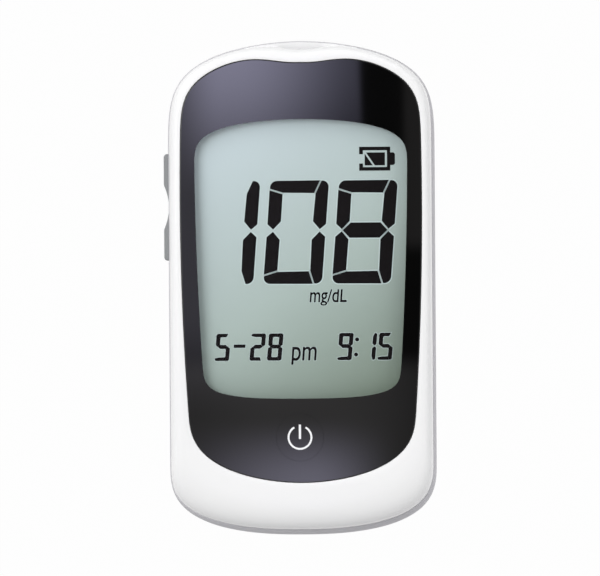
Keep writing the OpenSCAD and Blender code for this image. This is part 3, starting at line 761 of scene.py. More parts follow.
@dataclass
class Housing:
    """The front and the rear shell, screwed together from the back. Sizes in millimetres."""

    form: Form
    edge_steps: int = 26
    inner_steps: int = 12
    pocket_round: float = 0.12  # the round on the brink of the panel's pocket
    pocket_wall: float = 0.5
    slack: float = 0.15
    finishes: tuple[Finish, Finish] = (WHITE_ABS, SHELL_ABS_PAINTED_SHADE)
    split: float = 6.6  # height where the two halves of a boss meet
    bosses: tuple[float, float] = (2.3, 1.8)  # radius round a case screw, and round a board screw
    pilots: tuple[float, float] = (1.02, 0.72)  # radius of the hole for each
    pilot_depths: tuple[float, float] = (4.8, 1.3)
    sunk: float = 1.1  # height where bosses and the bay's walls start, inside the back
    rear_boss: float = 2.7
    screw_hole: float = 1.15
    well: tuple[float, float] = (2.1, 3.2)  # radius and depth of a screw head's well
    bay_low: tuple[float, float, float] = (-10.95, -40.5, -1.0)
    bay_high: tuple[float, float, float] = (10.95, 7.95, 12.1)
    bay_wall: float = 1.2  # at the bay's upper end
    roof: float = 0.7
    door_half: float = 11.95  # half the recess that the door lies in
    recess: tuple[float, float] = (1.0, 1.35)  # its reach past the bay, and its depth
    hinge_y: float = 10.6
    hinge_z: float = 1.3
    lug: float = 1.3  # radius of the lugs that hold the hinge's pin
    knuckle: float = 7.15
    knuckle_room: tuple[float, float] = (1.45, 2.75)  # half length and height
    pin_hole: tuple[float, float, float] = (1.0, 0.62, 10.9)  # start, radius and length
    thumb_dip: tuple[float, float, float] = (3.0, -5.4, 6.4)  # past the bay, height and radius
    key_slot: tuple[float, float, float, float] = (5.2, 26.8, 5.1, 9.6)  # y and z
    slot_end: float = -22.0
    pivot_boss: float = 1.75
    pivot_hole: tuple[float, float] = (2.3, 0.77)  # foot and radius
    flange_room: float = 0.3  # round the power key's flange
    port_half: float = 4.5
    port_y: float = 43.85  # where the strip port's slot starts
    tab_slot: tuple[float, float] = (5.4, 1.4)  # middle and half width of the battery plates' slots
    tab_depth: float = 0.45
    land_low: float = 42.0  # y where the land beside the strip port starts, which keeps the white finish as the lit copy beside the rear shell's painted shade
    land_half: float = 11.0
    land_depth: float = 0.06  # how far below the parting its faces may lie

    def front_rings(self) -> list[np.ndarray]:
        """The front shell: up its outside, into the panel's pocket, and down its inside."""
        form, low, high = self.form, self.form.front_line, self.form.pocket_line
        brink = inset(high, -self.pocket_round)
        top = form.crown(brink)[:, 2]
        foot = form.parting + form.groove
        rings = [lifted(inset(low, form.groove), form.parting)]
        for angle in np.linspace(0, 90, self.edge_steps):
            share, rise = form.edge(angle, form.front_power)
            rings.append(lifted(low + (brink - low) * share, foot + (top - foot) * rise))
        for angle in (30, 60, 90):
            turn = math.radians(angle)
            line = inset(high, -self.pocket_round * (1 - math.sin(turn)))
            rings.append(form.crown(line, self.pocket_round * (1 - math.cos(turn))))
        floor, window = form.panel_thickness + form.glue, form.window.points()
        rings += [form.crown(high, floor), form.crown(window, floor), form.crown(window, floor + form.deck)]
        inner_low, inner_high = inset(low, form.wall), inset(high, self.pocket_wall)
        ceiling = form.crown(inner_high, floor + form.deck)[:, 2]
        for angle in np.linspace(90, 0, self.inner_steps):
            share, rise = form.edge(angle)
            line = inner_low + (inner_high - inner_low) * share
            rings.append(lifted(line, form.parting + (ceiling - form.parting) * rise))
        return rings

    def front_shell(self) -> bpy.types.Object:
        """The bezel round the panel, with the deck under it, the bosses and the port's slot."""
        form, key, slack, port = self.form, PowerKey(self.form), self.slack, self.port_half
        board_top = form.board_top
        top = form.crown(np.array([CASE_PLACES[1]]))[0, 2]
        boss_top = top - form.panel_thickness - form.glue - form.deck / 2
        low, high = lowest("display_glass"), highest("display_glass")
        added, cut = [], [
            block(
                (low[0] - slack, low[1] - slack, board_top), (high[0] + slack, high[1] + slack, form.height),
            ),
            peg(key.centre, board_top, key.flange_radius + self.flange_room, form.height),
            block((-port, self.port_y, form.parting - PAST), (port, form.end_y + PAST, form.parting + PAST)),
        ]
        feet = (self.split, board_top)
        for places, foot, boss, pilot, depth in zip(
            (CASE_PLACES, BOARD_PLACES), feet, self.bosses, self.pilots, self.pilot_depths,
        ):
            added += [peg(place, foot, boss, boss_top - foot) for place in places]
            cut += [peg(place, foot - PAST, pilot, depth + PAST) for place in places]
        shell = loft("front_shell_bezel", self.front_rings(), True)
        return smoothed(carved(shell, added, cut))

    def rear_rings(self) -> list[np.ndarray]:
        """The rear shell: up its outside to the rim, and down its inside to the floor."""
        form, body = self.form, self.form.body.points()
        width, height = form.back_edge
        round_steps, flat = 13, 0.05  # of the round below the parting, and what it leaves level
        inner_start, inner_steps = 76, 10
        rings = []
        for angle in np.linspace(0, 90, self.edge_steps):
            share, rise = form.edge(angle)
            rings.append(lifted(inset(body, width * (1 - rise)), height * share))
        for turn in np.radians(np.linspace(0, 90, round_steps)):
            line = inset(body, (form.rim - flat) * (1 - math.cos(turn)))
            rings.append(lifted(line, form.parting - form.rim_drop * (1 - math.sin(turn))))
        rings.append(lifted(form.lip_line, form.parting))
        for angle in np.linspace(inner_start, 0, inner_steps):
            share, rise = form.edge(angle)
            line = inset(body, form.wall + width * (1 - rise))
            rings.append(lifted(line, form.wall + (height - form.wall) * share))
        return rings

    def hinge_lug(self, side: int) -> list[bpy.types.Object]:
        """The lug that holds one end of the door's pin: a round front on a square back."""
        start = self.knuckle if side > 0 else -self.door_half
        length = self.door_half - self.knuckle
        foot = (start, self.hinge_y, 0.0)
        return [
            bar(start, self.hinge_y, self.hinge_z, self.lug, length),
            block(foot, (start + length, self.hinge_y + self.lug, 2 * self.hinge_z)),
        ]

    def rear_shell(self) -> bpy.types.Object:
        """The back half: the battery bay, the hinge's lugs, the screws' seats and the key's slot."""
        form, slack, low, high = self.form, self.slack, self.bay_low, self.bay_high
        wall, sunk, hinge_y, roof = form.wall, self.sunk, self.hinge_y, high[2] + self.roof
        slot_low, slot_high, slot_floor, slot_roof = self.key_slot
        added = [
            block((low[0] - wall, low[1] - wall, sunk), (high[0] + wall, high[1] + self.bay_wall, roof)),
            peg(KEY_PIVOT, wall, self.pivot_boss, slot_floor - wall),
        ]
        added += [peg(place, sunk, self.rear_boss, self.split - slack - sunk) for place in CASE_PLACES]
        added += self.hinge_lug(-1) + self.hinge_lug(1)
        (reach, depth), (half, height) = self.recess, self.knuckle_room
        recess = block((-self.door_half, low[1] - reach, -PAST), (self.door_half, hinge_y, depth))
        past_bay, dip_z, dip_radius = self.thumb_dip
        start, radius, length = self.pin_hole
        hole_foot, hole_radius = self.pivot_hole
        cut = [
            block(low, high),
            carved(recess, [], self.hinge_lug(-1) + self.hinge_lug(1)),
            block((-self.knuckle, hinge_y - half, -PAST), (self.knuckle, hinge_y + half, height)),
            peg(KEY_PIVOT, hole_foot, hole_radius, form.height),
            block((-form.body_half - PAST, slot_low, slot_floor), (self.slot_end, slot_high, slot_roof)),
            ball((0, low[1] - past_bay, dip_z), dip_radius),
            bar(start, hinge_y, self.hinge_z, radius, length),
            bar(-start - length, hinge_y, self.hinge_z, radius, length),
        ]
        well_radius, well_depth = self.well
        for place in CASE_PLACES:
            cut.append(peg(place, -PAST, well_radius, well_depth + PAST))
            cut.append(peg(place, 0, self.screw_hole, self.split))
        for side in (-1, 1):
            middle, half = side * self.tab_slot[0], self.tab_slot[1]
            cut.append(block(
                (middle - half, high[1] - self.tab_depth, high[2] - PAST),
                (middle + half, high[1] + slack, roof + PAST),
            ))
        return smoothed(carved(loft("rear_shell_back", self.rear_rings(), False), added, cut))

    def build(self) -> None:
        """Builds both shells and puts them in place of the CAD ones."""
        pieces = ((self.front_shell(), "front_shell"), (self.rear_shell(), "rear_shell"))
        for (piece, node), finish in zip(pieces, self.finishes):
            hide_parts(node)
            fitted(piece, finish, slot="white_shell")
        # The land beside the strip port faces up and keeps the front shell's white: the lit copy beside the
        # rear shell's painted shade
        top = self.form.parting - self.land_depth
        second_finish(
            pieces[1][0], self.finishes[0],
            lambda p: p.z > top and p.y > self.land_low and abs(p.x) < self.land_half,
        )


# ---- Panel, window and power key ------------------------------------------------------------


@dataclass
class PowerKey:
    """The round key in the panel, level with it, under the printed sign for standby."""

    form: Form
    radius: float = 4.63
    gap: float = 0.03  # between the key and the panel
    edge: float = 0.015  # the round on its edge
    stem: float = 1.4
    flange: tuple[float, float] = (0.05, 0.6)  # its gap under the panel, and its thickness
    steps: int = 96  # round its outline
    sign_radius: float = 2.24  # to the middle of the ring's stroke
    sign_stroke: float = 0.37
    gap_half: float = 1.1  # half the gap in the ring
    bar_top: float = 2.5
    bar_bottom: float = -0.3
    bar_width: float = 0.44
    print_heights: tuple[float, float] = (0.002, 0.02)  # of the ink's two sides above the crown

    def __post_init__(self) -> None:
        """Takes the key's place and heights from its CAD node."""
        self.low, self.high = lowest("power_key"), highest("power_key")
        self.centre = tuple((self.low[:2] + self.high[:2]) / 2)
        self.flange_radius = (self.high[0] - self.low[0]) / 2

    def key(self) -> bpy.types.Object:
        """The key: its stem, its flange under the panel, and its face on the panel's crown."""
        form, wide, (gap, thickness) = self.form, self.flange_radius, self.flange
        edge = form.crown(np.array([[0, self.centre[1] - wide]]))[0, 2]
        flange_top = edge - form.panel_thickness - gap
        flange_low = flange_top - thickness
        steps = (
            (self.stem, self.low[2]), (self.stem, flange_low), (wide, flange_low), (wide, flange_top),
            (self.radius, flange_top),
        )
        rings = [lifted(circle(self.centre, radius, self.steps), z) for radius, z in steps]
        for angle in (0, 30, 60, 90):
            turn = math.radians(angle)
            ring = circle(self.centre, self.radius - self.edge * (1 - math.cos(turn)), self.steps)
            rings.append(form.crown(ring, self.edge * (1 - math.sin(turn))))
        for share in (0.8, 0.5, 0.2):
            rings.append(form.crown(circle(self.centre, self.radius * share, self.steps)))
        return form.true_normals(smoothed(loft("power_key_face", rings, False)))

    def printed(self, name: str, line: np.ndarray) -> bpy.types.Object:
        """A closed line printed on the crown, as a thin slab."""
        rings = [self.form.crown(line, -height) for height in self.print_heights]
        return loft(name, rings, False)

    def sign(self) -> bpy.types.Object:
        """The broken ring and the bar of the standby sign."""
        start = math.asin(self.gap_half / self.sign_radius)
        turn = np.linspace(math.pi / 2 + start, math.pi / 2 + 2 * math.pi - start, 90)
        way = np.column_stack([np.cos(turn), np.sin(turn)])
        half = self.sign_stroke / 2
        ring = np.vstack([way * (self.sign_radius - half), way[::-1] * (self.sign_radius + half)])[::-1]
        side = self.bar_width / 2
        stroke = np.array([
            [-side, self.bar_bottom], [side, self.bar_bottom], [side, self.bar_top], [-side, self.bar_top],
        ])
        sign = self.printed("power_key_sign", ring + self.centre)
        return carved(sign, [self.printed("stroke", stroke + self.centre)], [])

    def build(self) -> None:
        """Builds the key in place of the CAD one, and prints its sign."""
        key = self.key()
        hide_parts("power_key")
        fitted(key, BLACK_ACRYLIC, "power_key", "black_panel")
        fitted(self.sign(), WHITE_INK, "power_key", "white_shell")


@dataclass
class Panel:
    """The crowned sheet on the front: black round the window, clear in it."""

    form: Form
    bevel: float = 0.2
    spans: int = 10  # rings from the edge to the window
    slit: float = 0.02  # between the black sheet and the clear one
    clear_rings: tuple[float, int] = (0.12, 9)  # size of the smallest, and their number

    def black_sheet(self) -> bpy.types.Object:
        """The black sheet, bevelled round its edge, with the power key's hole."""
        form = self.form
        outer, window = form.panel.points(), form.window.points()
        rings = [form.crown(outer, form.panel_thickness), form.crown(outer, self.bevel)]
        for angle in (22, 45, 68, 90):
            turn = math.radians(angle)
            line = inset(outer, self.bevel * (1 - math.cos(turn)))
            rings.append(form.crown(line, self.bevel * (1 - math.sin(turn))))
        top = inset(outer, self.bevel)
        for share in np.linspace(0, 1, self.spans + 1)[1:]:
            rings.append(form.crown(top + (window - top) * share))
        rings.append(form.crown(window, form.panel_thickness))
        for share in (0.35, 0.7):
            rings.append(form.crown(window + (outer - window) * share, form.panel_thickness))
        sheet = loft("front_panel_black", rings, True)
        key = PowerKey(form)
        hole = peg(key.centre, form.board_top, key.radius + key.gap, form.height, key.steps)
        return form.true_normals(smoothed(carved(sheet, [], [hole])))

    def clear_sheet(self) -> bpy.types.Object:
        """The clear sheet that fills the window, on the same crown."""
        form = self.form
        line = inset(form.window.points(), self.slit)
        middle = np.array([0, (form.window.top.edge + form.window.bottom.edge) / 2])
        least, count = self.clear_rings
        sizes = np.linspace(least, 1, count)
        rings = [form.crown(middle + (line - middle) * s, form.panel_thickness) for s in sizes]
        rings += [form.crown(middle + (line - middle) * s) for s in sizes[::-1]]
        return form.true_normals(smoothed(loft("display_window_clear", rings, False)))

    def build(self) -> None:
        """Builds both sheets in place of the CAD ones, and the key between them."""
        black, clear = self.black_sheet(), self.clear_sheet()
        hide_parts("front_panel")
        fitted(black, BLACK_ACRYLIC, slot="black_panel")
        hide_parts("display_window")
        fitted(clear, CLEAR_ACRYLIC, slot="clear_window")
        PowerKey(self.form).build()


# ---- Pieces that repeat, grown with geometry nodes ------------------------------------------


@dataclass
class Grower:
    """A tree of geometry nodes with named sizes, which puts one shape at each of its places.

    The tree works in millimetres. Its last steps scale it to metres, make the instances real
    and set the material.
    """

    name: str
    places: list[tuple[float, float, float]]
    sizes: dict[str, float]
    turns: list[tuple[float, float, float]] = field(default_factory=list)  # in degrees

    def __post_init__(self) -> None:
        """Makes the tree, its sockets and the points that it grows on."""
        self.tree = bpy.data.node_groups.new(self.name, "GeometryNodeTree")
        sockets = self.tree.interface
        sockets.new_socket("Geometry", in_out="OUTPUT", socket_type="NodeSocketGeometry")
        sockets.new_socket("Places", in_out="INPUT", socket_type="NodeSocketGeometry")
        self.keys = {
            label: sockets.new_socket(label, in_out="INPUT", socket_type="NodeSocketFloat").identifier
            for label in self.sizes
        }
        self.source = add(self.tree, "NodeGroupInput")

    def size(self, label: str) -> bpy.types.NodeSocket:
        """The socket of a named size."""
        return self.source.outputs[label]

    def math(self, operation: str, *values: object) -> bpy.types.Node:
        """A math node on values or sockets."""
        return sum_of(self.tree, operation, *values)

    def vector(self, x: object = 0.0, y: object = 0.0, z: object = 0.0) -> bpy.types.Node:
        """Three values or sockets as one vector."""
        return add(self.tree, "ShaderNodeCombineXYZ", X=x, Y=y, Z=z)

    def box(self, x: object, y: object, z: object, place: tuple[object, ...]) -> bpy.types.Node:
        """A box with its middle at a place."""
        cube = add(self.tree, "GeometryNodeMeshCube", Size=self.vector(x, y, z))
        return add(
            self.tree, "GeometryNodeTransform", Geometry=cube.outputs[0], Translation=self.vector(*place),
        )

    def cone(self, low: object, high: object, height: object, z: object, steps: int = 40) -> bpy.types.Node:
        """A cone along +Z with its lower radius, its upper radius and the height of its foot."""
        return add(
            self.tree, "GeometryNodeTransform",
            Geometry=add(
                self.tree, "GeometryNodeMeshCone", Vertices=steps, Radius_Top=high,
                Radius_Bottom=low, Depth=height,
            ).outputs["Mesh"],
            Translation=self.vector(0.0, 0.0, z),
        )

    def less(self, shape: bpy.types.Node, tool: bpy.types.Node) -> bpy.types.Node:
        """A shape with another one cut away from it."""
        return add(
            self.tree, "GeometryNodeMeshBoolean", {"operation": "DIFFERENCE", "solver": "EXACT"},
            Mesh_1=shape, Mesh_2=tool,
        )

    def joined(self, *parts: bpy.types.Node) -> bpy.types.Node:
        """Several shapes as one."""
        join = add(self.tree, "GeometryNodeJoinGeometry")
        for part in parts:
            self.tree.links.new(part.outputs[0], join.inputs[0])
        return join

    def coil(self, low: object, high: object, turns: object, height: object, wire: object) -> bpy.types.Node:
        """Round wire in a helix along +Z, from its lower radius to its upper one."""
        turn_steps, wire_steps = 40, 12
        path = add(
            self.tree, "GeometryNodeCurveSpiral", Resolution=turn_steps, Rotations=turns,
            Start_Radius=low, End_Radius=high, Height=height,
        )
        section = add(self.tree, "GeometryNodeCurvePrimitiveCircle", Resolution=wire_steps, Radius=wire)
        return add(
            self.tree, "GeometryNodeCurveToMesh", Curve=path.outputs[0],
            Profile_Curve=section.outputs[0], Fill_Caps=True,
        )

    def grown(self, shape: bpy.types.Node, finish: Finish, smooth: bool = True) -> bpy.types.Object:
        """Puts the shape at each place, runs the tree and turns the result into plain mesh.

        Args:
            shape: The last node of the shape, in millimetres.
            finish: The finish of every copy.
            smooth: True shades round sides smooth.

        Returns:
            The finished piece, without modifiers.
        """
        tree = self.tree
        turn = add(tree, "GeometryNodeInputNamedAttribute", {"data_type": "FLOAT_VECTOR"}, Name="turn")
        spread = add(
            tree, "GeometryNodeInstanceOnPoints", Points=self.source.outputs["Places"],
            Instance=shape.outputs[0],
            Rotation=add(tree, "FunctionNodeEulerToRotation", Euler=turn.outputs["Attribute"]),
        )
        metres = add(tree, "GeometryNodeTransform", Geometry=spread, Scale=(MM, MM, MM))
        real = add(tree, "GeometryNodeRealizeInstances", Geometry=metres)
        painted = add(tree, "GeometryNodeSetMaterial", Geometry=real, Material=finish.material())
        add(tree, "NodeGroupOutput", Geometry=painted)
        piece = make_piece(self.name, np.array(self.places) / MM, [])
        turns = self.turns or [(0.0, 0.0, 0.0)] * len(self.places)
        held = piece.data.attributes.new("turn", "FLOAT_VECTOR", "POINT")
        held.data.foreach_set("vector", np.radians(turns).ravel())
        step = piece.modifiers.new("grow", "NODES")
        step.node_group = tree
        for label, value in self.sizes.items():
            step[self.keys[label]] = float(value)
        bpy.context.view_layer.update()
        baked(piece)
        bpy.data.node_groups.remove(tree)
        return smoothed(piece) if smooth else piece


def grown_boxes(
    name: str, places: list[tuple[float, float, float]], size: tuple[float, float, float], finish: Finish,
) -> bpy.types.Object:
    """A box of one size at each place, with its middle there."""
    sizes = dict(zip(("Length", "Width", "Height"), size))
    grower = Grower(name, places, sizes)
    shape = grower.box(*(grower.size(label) for label in sizes), (0.0, 0.0, 0.0))
    return grower.grown(shape, finish, smooth=False)


@dataclass
class Screws:
    """Screws with a cross recess and a thread, head down, one at each place."""

    name: str
    node: str
    places: tuple[tuple[float, float], ...]
    seat: float  # height of the head's upper side
    head: tuple[float, float]  # radius and height
    shank: tuple[float, float]  # radius and length
    pitch: float = 0.7
    thread: float = 0.11
    recess: tuple[float, float, float] = (1.12, 0.3, 0.6)  # length, width, depth, to the head's size
    crown: tuple[float, float] = (0.4, 0.82)  # height and flat of the head's crown, likewise
    tip: float = 0.7  # radius and length of the tip, to the shank's radius
    thread_start: float = 0.7
    thread_less: float = 0.8  # how much shorter the thread is than the straight shank
    turns: tuple[float, float] = (20.0, 33.0)  # of the first, and on to each next one, in degrees

    def grower(self) -> Grower:
        """The tree that holds the sizes."""
        (radius, height), (long, wide, deep) = self.head, self.recess
        first, more = self.turns
        return Grower(
            self.name,
            [(*place, self.seat) for place in self.places],
            {
                "Head radius": radius, "Head height": height,
                "Shank radius": self.shank[0], "Shank length": self.shank[1],
                "Recess length": radius * long, "Recess width": wide * radius,
                "Recess depth": deep * height, "Pitch": self.pitch, "Thread": self.thread,
            },
            [(0.0, 0.0, first + more * i) for i in range(len(self.places))],
        )

    def head_shape(self, grower: Grower) -> bpy.types.Node:
        """The head, with a cross cut into its crown."""
        size, maths = grower.size, grower.math
        radius, height = size("Head radius"), size("Head height")
        crown_share, flat_share = self.crown
        crown, low = maths("MULTIPLY", height, crown_share), maths("MULTIPLY", height, -1.0)
        shape = grower.joined(
            grower.cone(maths("MULTIPLY", radius, flat_share), radius, crown, low),
            grower.cone(radius, radius, maths("SUBTRACT", height, crown), maths("ADD", low, crown)),
        )
        depth = maths("MULTIPLY", size("Recess depth"), 2.0)
        for along, across in (("Recess length", "Recess width"), ("Recess width", "Recess length")):
            shape = grower.less(shape, grower.box(size(along), size(across), depth, (0.0, 0.0, low)))
        return shape

    def build(self) -> None:
        """Grows the screws in place of their CAD node."""
        grower = self.grower()
        size, maths = grower.size, grower.math
        head = self.head_shape(grower)
        reach, length = size("Shank radius"), size("Shank length")
        tip = maths("MULTIPLY", reach, self.tip)
        straight = maths("SUBTRACT", length, tip)
        threaded = maths("SUBTRACT", straight, self.thread_less)
        thread = add(
            grower.tree, "GeometryNodeTransform",
            Geometry=grower.coil(
                reach, reach, maths("DIVIDE", threaded, size("Pitch")), threaded, size("Thread"),
            ),
            Translation=grower.vector(0.0, 0.0, self.thread_start),
        )
        shape = grower.joined(
            head, grower.cone(reach, reach, straight, 0.0), grower.cone(reach, tip, tip, straight), thread,
        )
        piece = grower.grown(shape, NICKEL_STEEL)
        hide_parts(self.node)
        fitted(piece, NICKEL_STEEL, slot="steel")


# ---- Display --------------------------------------------------------------------------------

# Which segments of a figure are lit: a to f run clockwise from the top, g is the middle one
LIT = {"0": "abcdef", "1": "bc", "2": "abdeg", "5": "acdfg", "8": "abcdefg", "9": "abcdfg"}


def grown_line(points: np.ndarray, distance: float) -> np.ndarray:
    """A closed line of straight sides moved outwards by a distance, with its corners kept."""
    tiny, least = 1e-9, 0.35  # least length of a side, and what keeps a sharp corner from running off
    before, after = points - np.roll(points, 1, axis=0), np.roll(points, -1, axis=0) - points
    normals = []
    for way in (before, after):
        way = way / np.maximum(np.linalg.norm(way, axis=1), tiny)[:, None]
        normals.append(np.column_stack([way[:, 1], -way[:, 0]]))
    both = normals[0] + normals[1]
    share = 1 + np.sum(normals[0] * normals[1], axis=1)
    return points + both * (distance / np.maximum(share, least))[:, None]


def slabs(name: str, lines: list[np.ndarray], low: float, high: float) -> bpy.types.Object:
    """Thin flat plates with the given outlines, between two heights.

    Args:
        name: The piece's name.
        lines: Closed outlines, anticlockwise.
        low: Height of the undersides.
        high: Height of the faces.

    Returns:
        One object with all the plates.
    """
    points, faces = [], []
    for line in lines:
        first, count = sum(len(p) for p in points), len(line)
        points += [lifted(line, low), lifted(line, high)]
        faces.append([first + i for i in range(count - 1, -1, -1)])
        faces.append([first + count + i for i in range(count)])
        for i in range(count):
            j = (i + 1) % count
            faces.append([first + i, first + j, first + count + j, first + count + i])
    return make_piece(name, np.vstack(points), faces)


@dataclass(frozen=True)
class Figure:
    """Sizes of a seven-segment figure, in millimetres."""

    height: float
    width: float
    side: float  # width of the upright strokes
    bar: float  # height of the strokes at the top and the bottom
    middle: float  # height of the stroke in the middle
    corner: float  # radius of the outer corners
    gap: float  # between two segments
    slant: float  # how far the figure leans to the right, for each millimetre up

    def joint(self, start: tuple[float, float], end: tuple[float, float], side: int) -> list[np.ndarray]:
        """The ends of a slanting joint, half a gap to its left for side 1, to its right for -1."""
        along = np.subtract(end, start)
        across = np.array([-along[1], along[0]]) / np.linalg.norm(along) * self.gap / 2 * side
        return [start + across, end + across]

    def turned(self, x: float, y: float, start: float) -> list[tuple[float, float]]:
        """A quarter round about a point, anticlockwise from an angle in degrees."""
        angles = np.radians(np.linspace(start, start + 90, 9))
        return [(x + self.corner * math.cos(a), y + self.corner * math.sin(a)) for a in angles]

    def segments(self) -> dict[str, list]:
        """The outline of each segment, upright and anticlockwise."""
        w, h, s, t, r = self.width, self.height, self.side, self.bar, self.corner
        mid, half = 0.5165 * h, self.middle / 2
        outer, inner, tip = 0.83 * half, 1.2 * half, 0.14 * half
        top_left, top_right = ((0, h - 0.65 * s), (s, h - t)), ((w - 0.62 * s, h), (w - s, h - t))
        low_left, low_right = ((0, 0.64 * s), (s, t)), ((w - 0.64 * s, 0), (w - s, t))
        a_left, a_right = self.joint(*top_left, 1), self.joint(*top_right, -1)
        b_top, c_foot = self.joint(*top_right, 1), self.joint(*low_right, -1)
        d_left, d_right = self.joint(*low_left, -1), self.joint(*low_right, 1)
        e_foot, f_top = self.joint(*low_left, 1), self.joint(*top_left, -1)
        return {
            "a": [a_right[0], *self.turned(r, h - r, 90), *a_left, a_right[1]],
            "b": [
                b_top[1], (w - s, mid + inner), (w - 0.45 * s, mid + tip), (w, mid + outer),
                *self.turned(w - r, h - r, 0), b_top[0],
            ],
            "c": [
                (w - s, mid - inner), c_foot[1], c_foot[0], *self.turned(w - r, r, 270),
                (w, mid - outer), (w - 0.45 * s, mid - tip),
            ],
            "d": [d_left[1], d_left[0], *self.turned(r, r, 180), d_right[0], d_right[1]],
            "e": [e_foot[0], e_foot[1], (s, mid - inner), (0.45 * s, mid - tip), (0, mid - outer)],
            "f": [(0, mid + outer), (0.45 * s, mid + tip), (s, mid + inner), f_top[1], f_top[0]],
            "g": [
                (0.52 * s, mid), (1.08 * s, mid - half), (w - 1.08 * s, mid - half),
                (w - 0.52 * s, mid), (w - 1.08 * s, mid + half), (1.08 * s, mid + half),
            ],
        }

    def drawn(self, figure: str, x: float, y: float) -> list[np.ndarray]:
        """The lit segments of a figure whose lower left corner lies at x, y."""
        lines = []
        for letter in LIT[figure]:
            line = np.array(self.segments()[letter], float)
            lines.append(np.column_stack([x + line[:, 0] + self.slant * line[:, 1], y + line[:, 1]]))
        return lines


@dataclass(frozen=True)
class Words:
    """A unit or a time mark on the display, in a narrow slanted face. Sizes in millimetres."""

    text: str
    x: float
    baseline: float
    length: float  # of the whole mark
    small_height: float  # height of a letter such as m
    rise: float  # how far a tall letter such as d stands above that
    fall: float  # how far a tail such as that of p hangs below the line
    weight: float = 0.05  # how far its strokes are widened to each side
    slant: float = 0.07

    def made(self, name: str, weight: float, low: float, high: float) -> bpy.types.Object:
        """The mark as a thin plate.

        Args:
            name: The piece's name.
            weight: How far its strokes are widened beyond its own weight.
            low: Height of its underside.
            high: Height of its face.

        Returns:
            The new object.
        """
        curve = bpy.data.curves.new(name, "FONT")
        letter = bpy.data.objects.new(name, curve)
        bpy.context.scene.collection.objects.link(letter)
        sizes = []
        for text in ("x", "d", "p", self.text):
            curve.body = text
            bpy.context.view_layer.update()
            sizes.append(tuple(letter.dimensions))
        small, tall, tailed = (size[1] for size in sizes[:3])
        along = self.length / sizes[3][0]
        heights = (small - tailed, 0.0, small, tall)
        places = (-self.fall, 0.0, self.small_height, self.small_height + self.rise)
        curve.extrude = 0.5
        curve.offset = (self.weight + weight) / math.sqrt(self.small_height / small * along)
        bpy.context.view_layer.update()
        graph = bpy.context.evaluated_depsgraph_get()
        mesh = bpy.data.meshes.new_from_object(letter.evaluated_get(graph))
        bpy.data.objects.remove(letter)
        bpy.data.curves.remove(curve)
        for vertex in mesh.vertices:
            x, y, z = vertex.co
            up = float(np.interp(y, heights, places)) + min(0.0, y - heights[0]) + max(0.0, y - tall)
            vertex.co = Vector((
                self.x + x * along + self.slant * up, self.baseline + up, low + (high - low) * (z + 0.5),
            )) * MM
        piece = bpy.data.objects.new(name, mesh)
        bpy.context.scene.collection.objects.link(piece)
        return piece


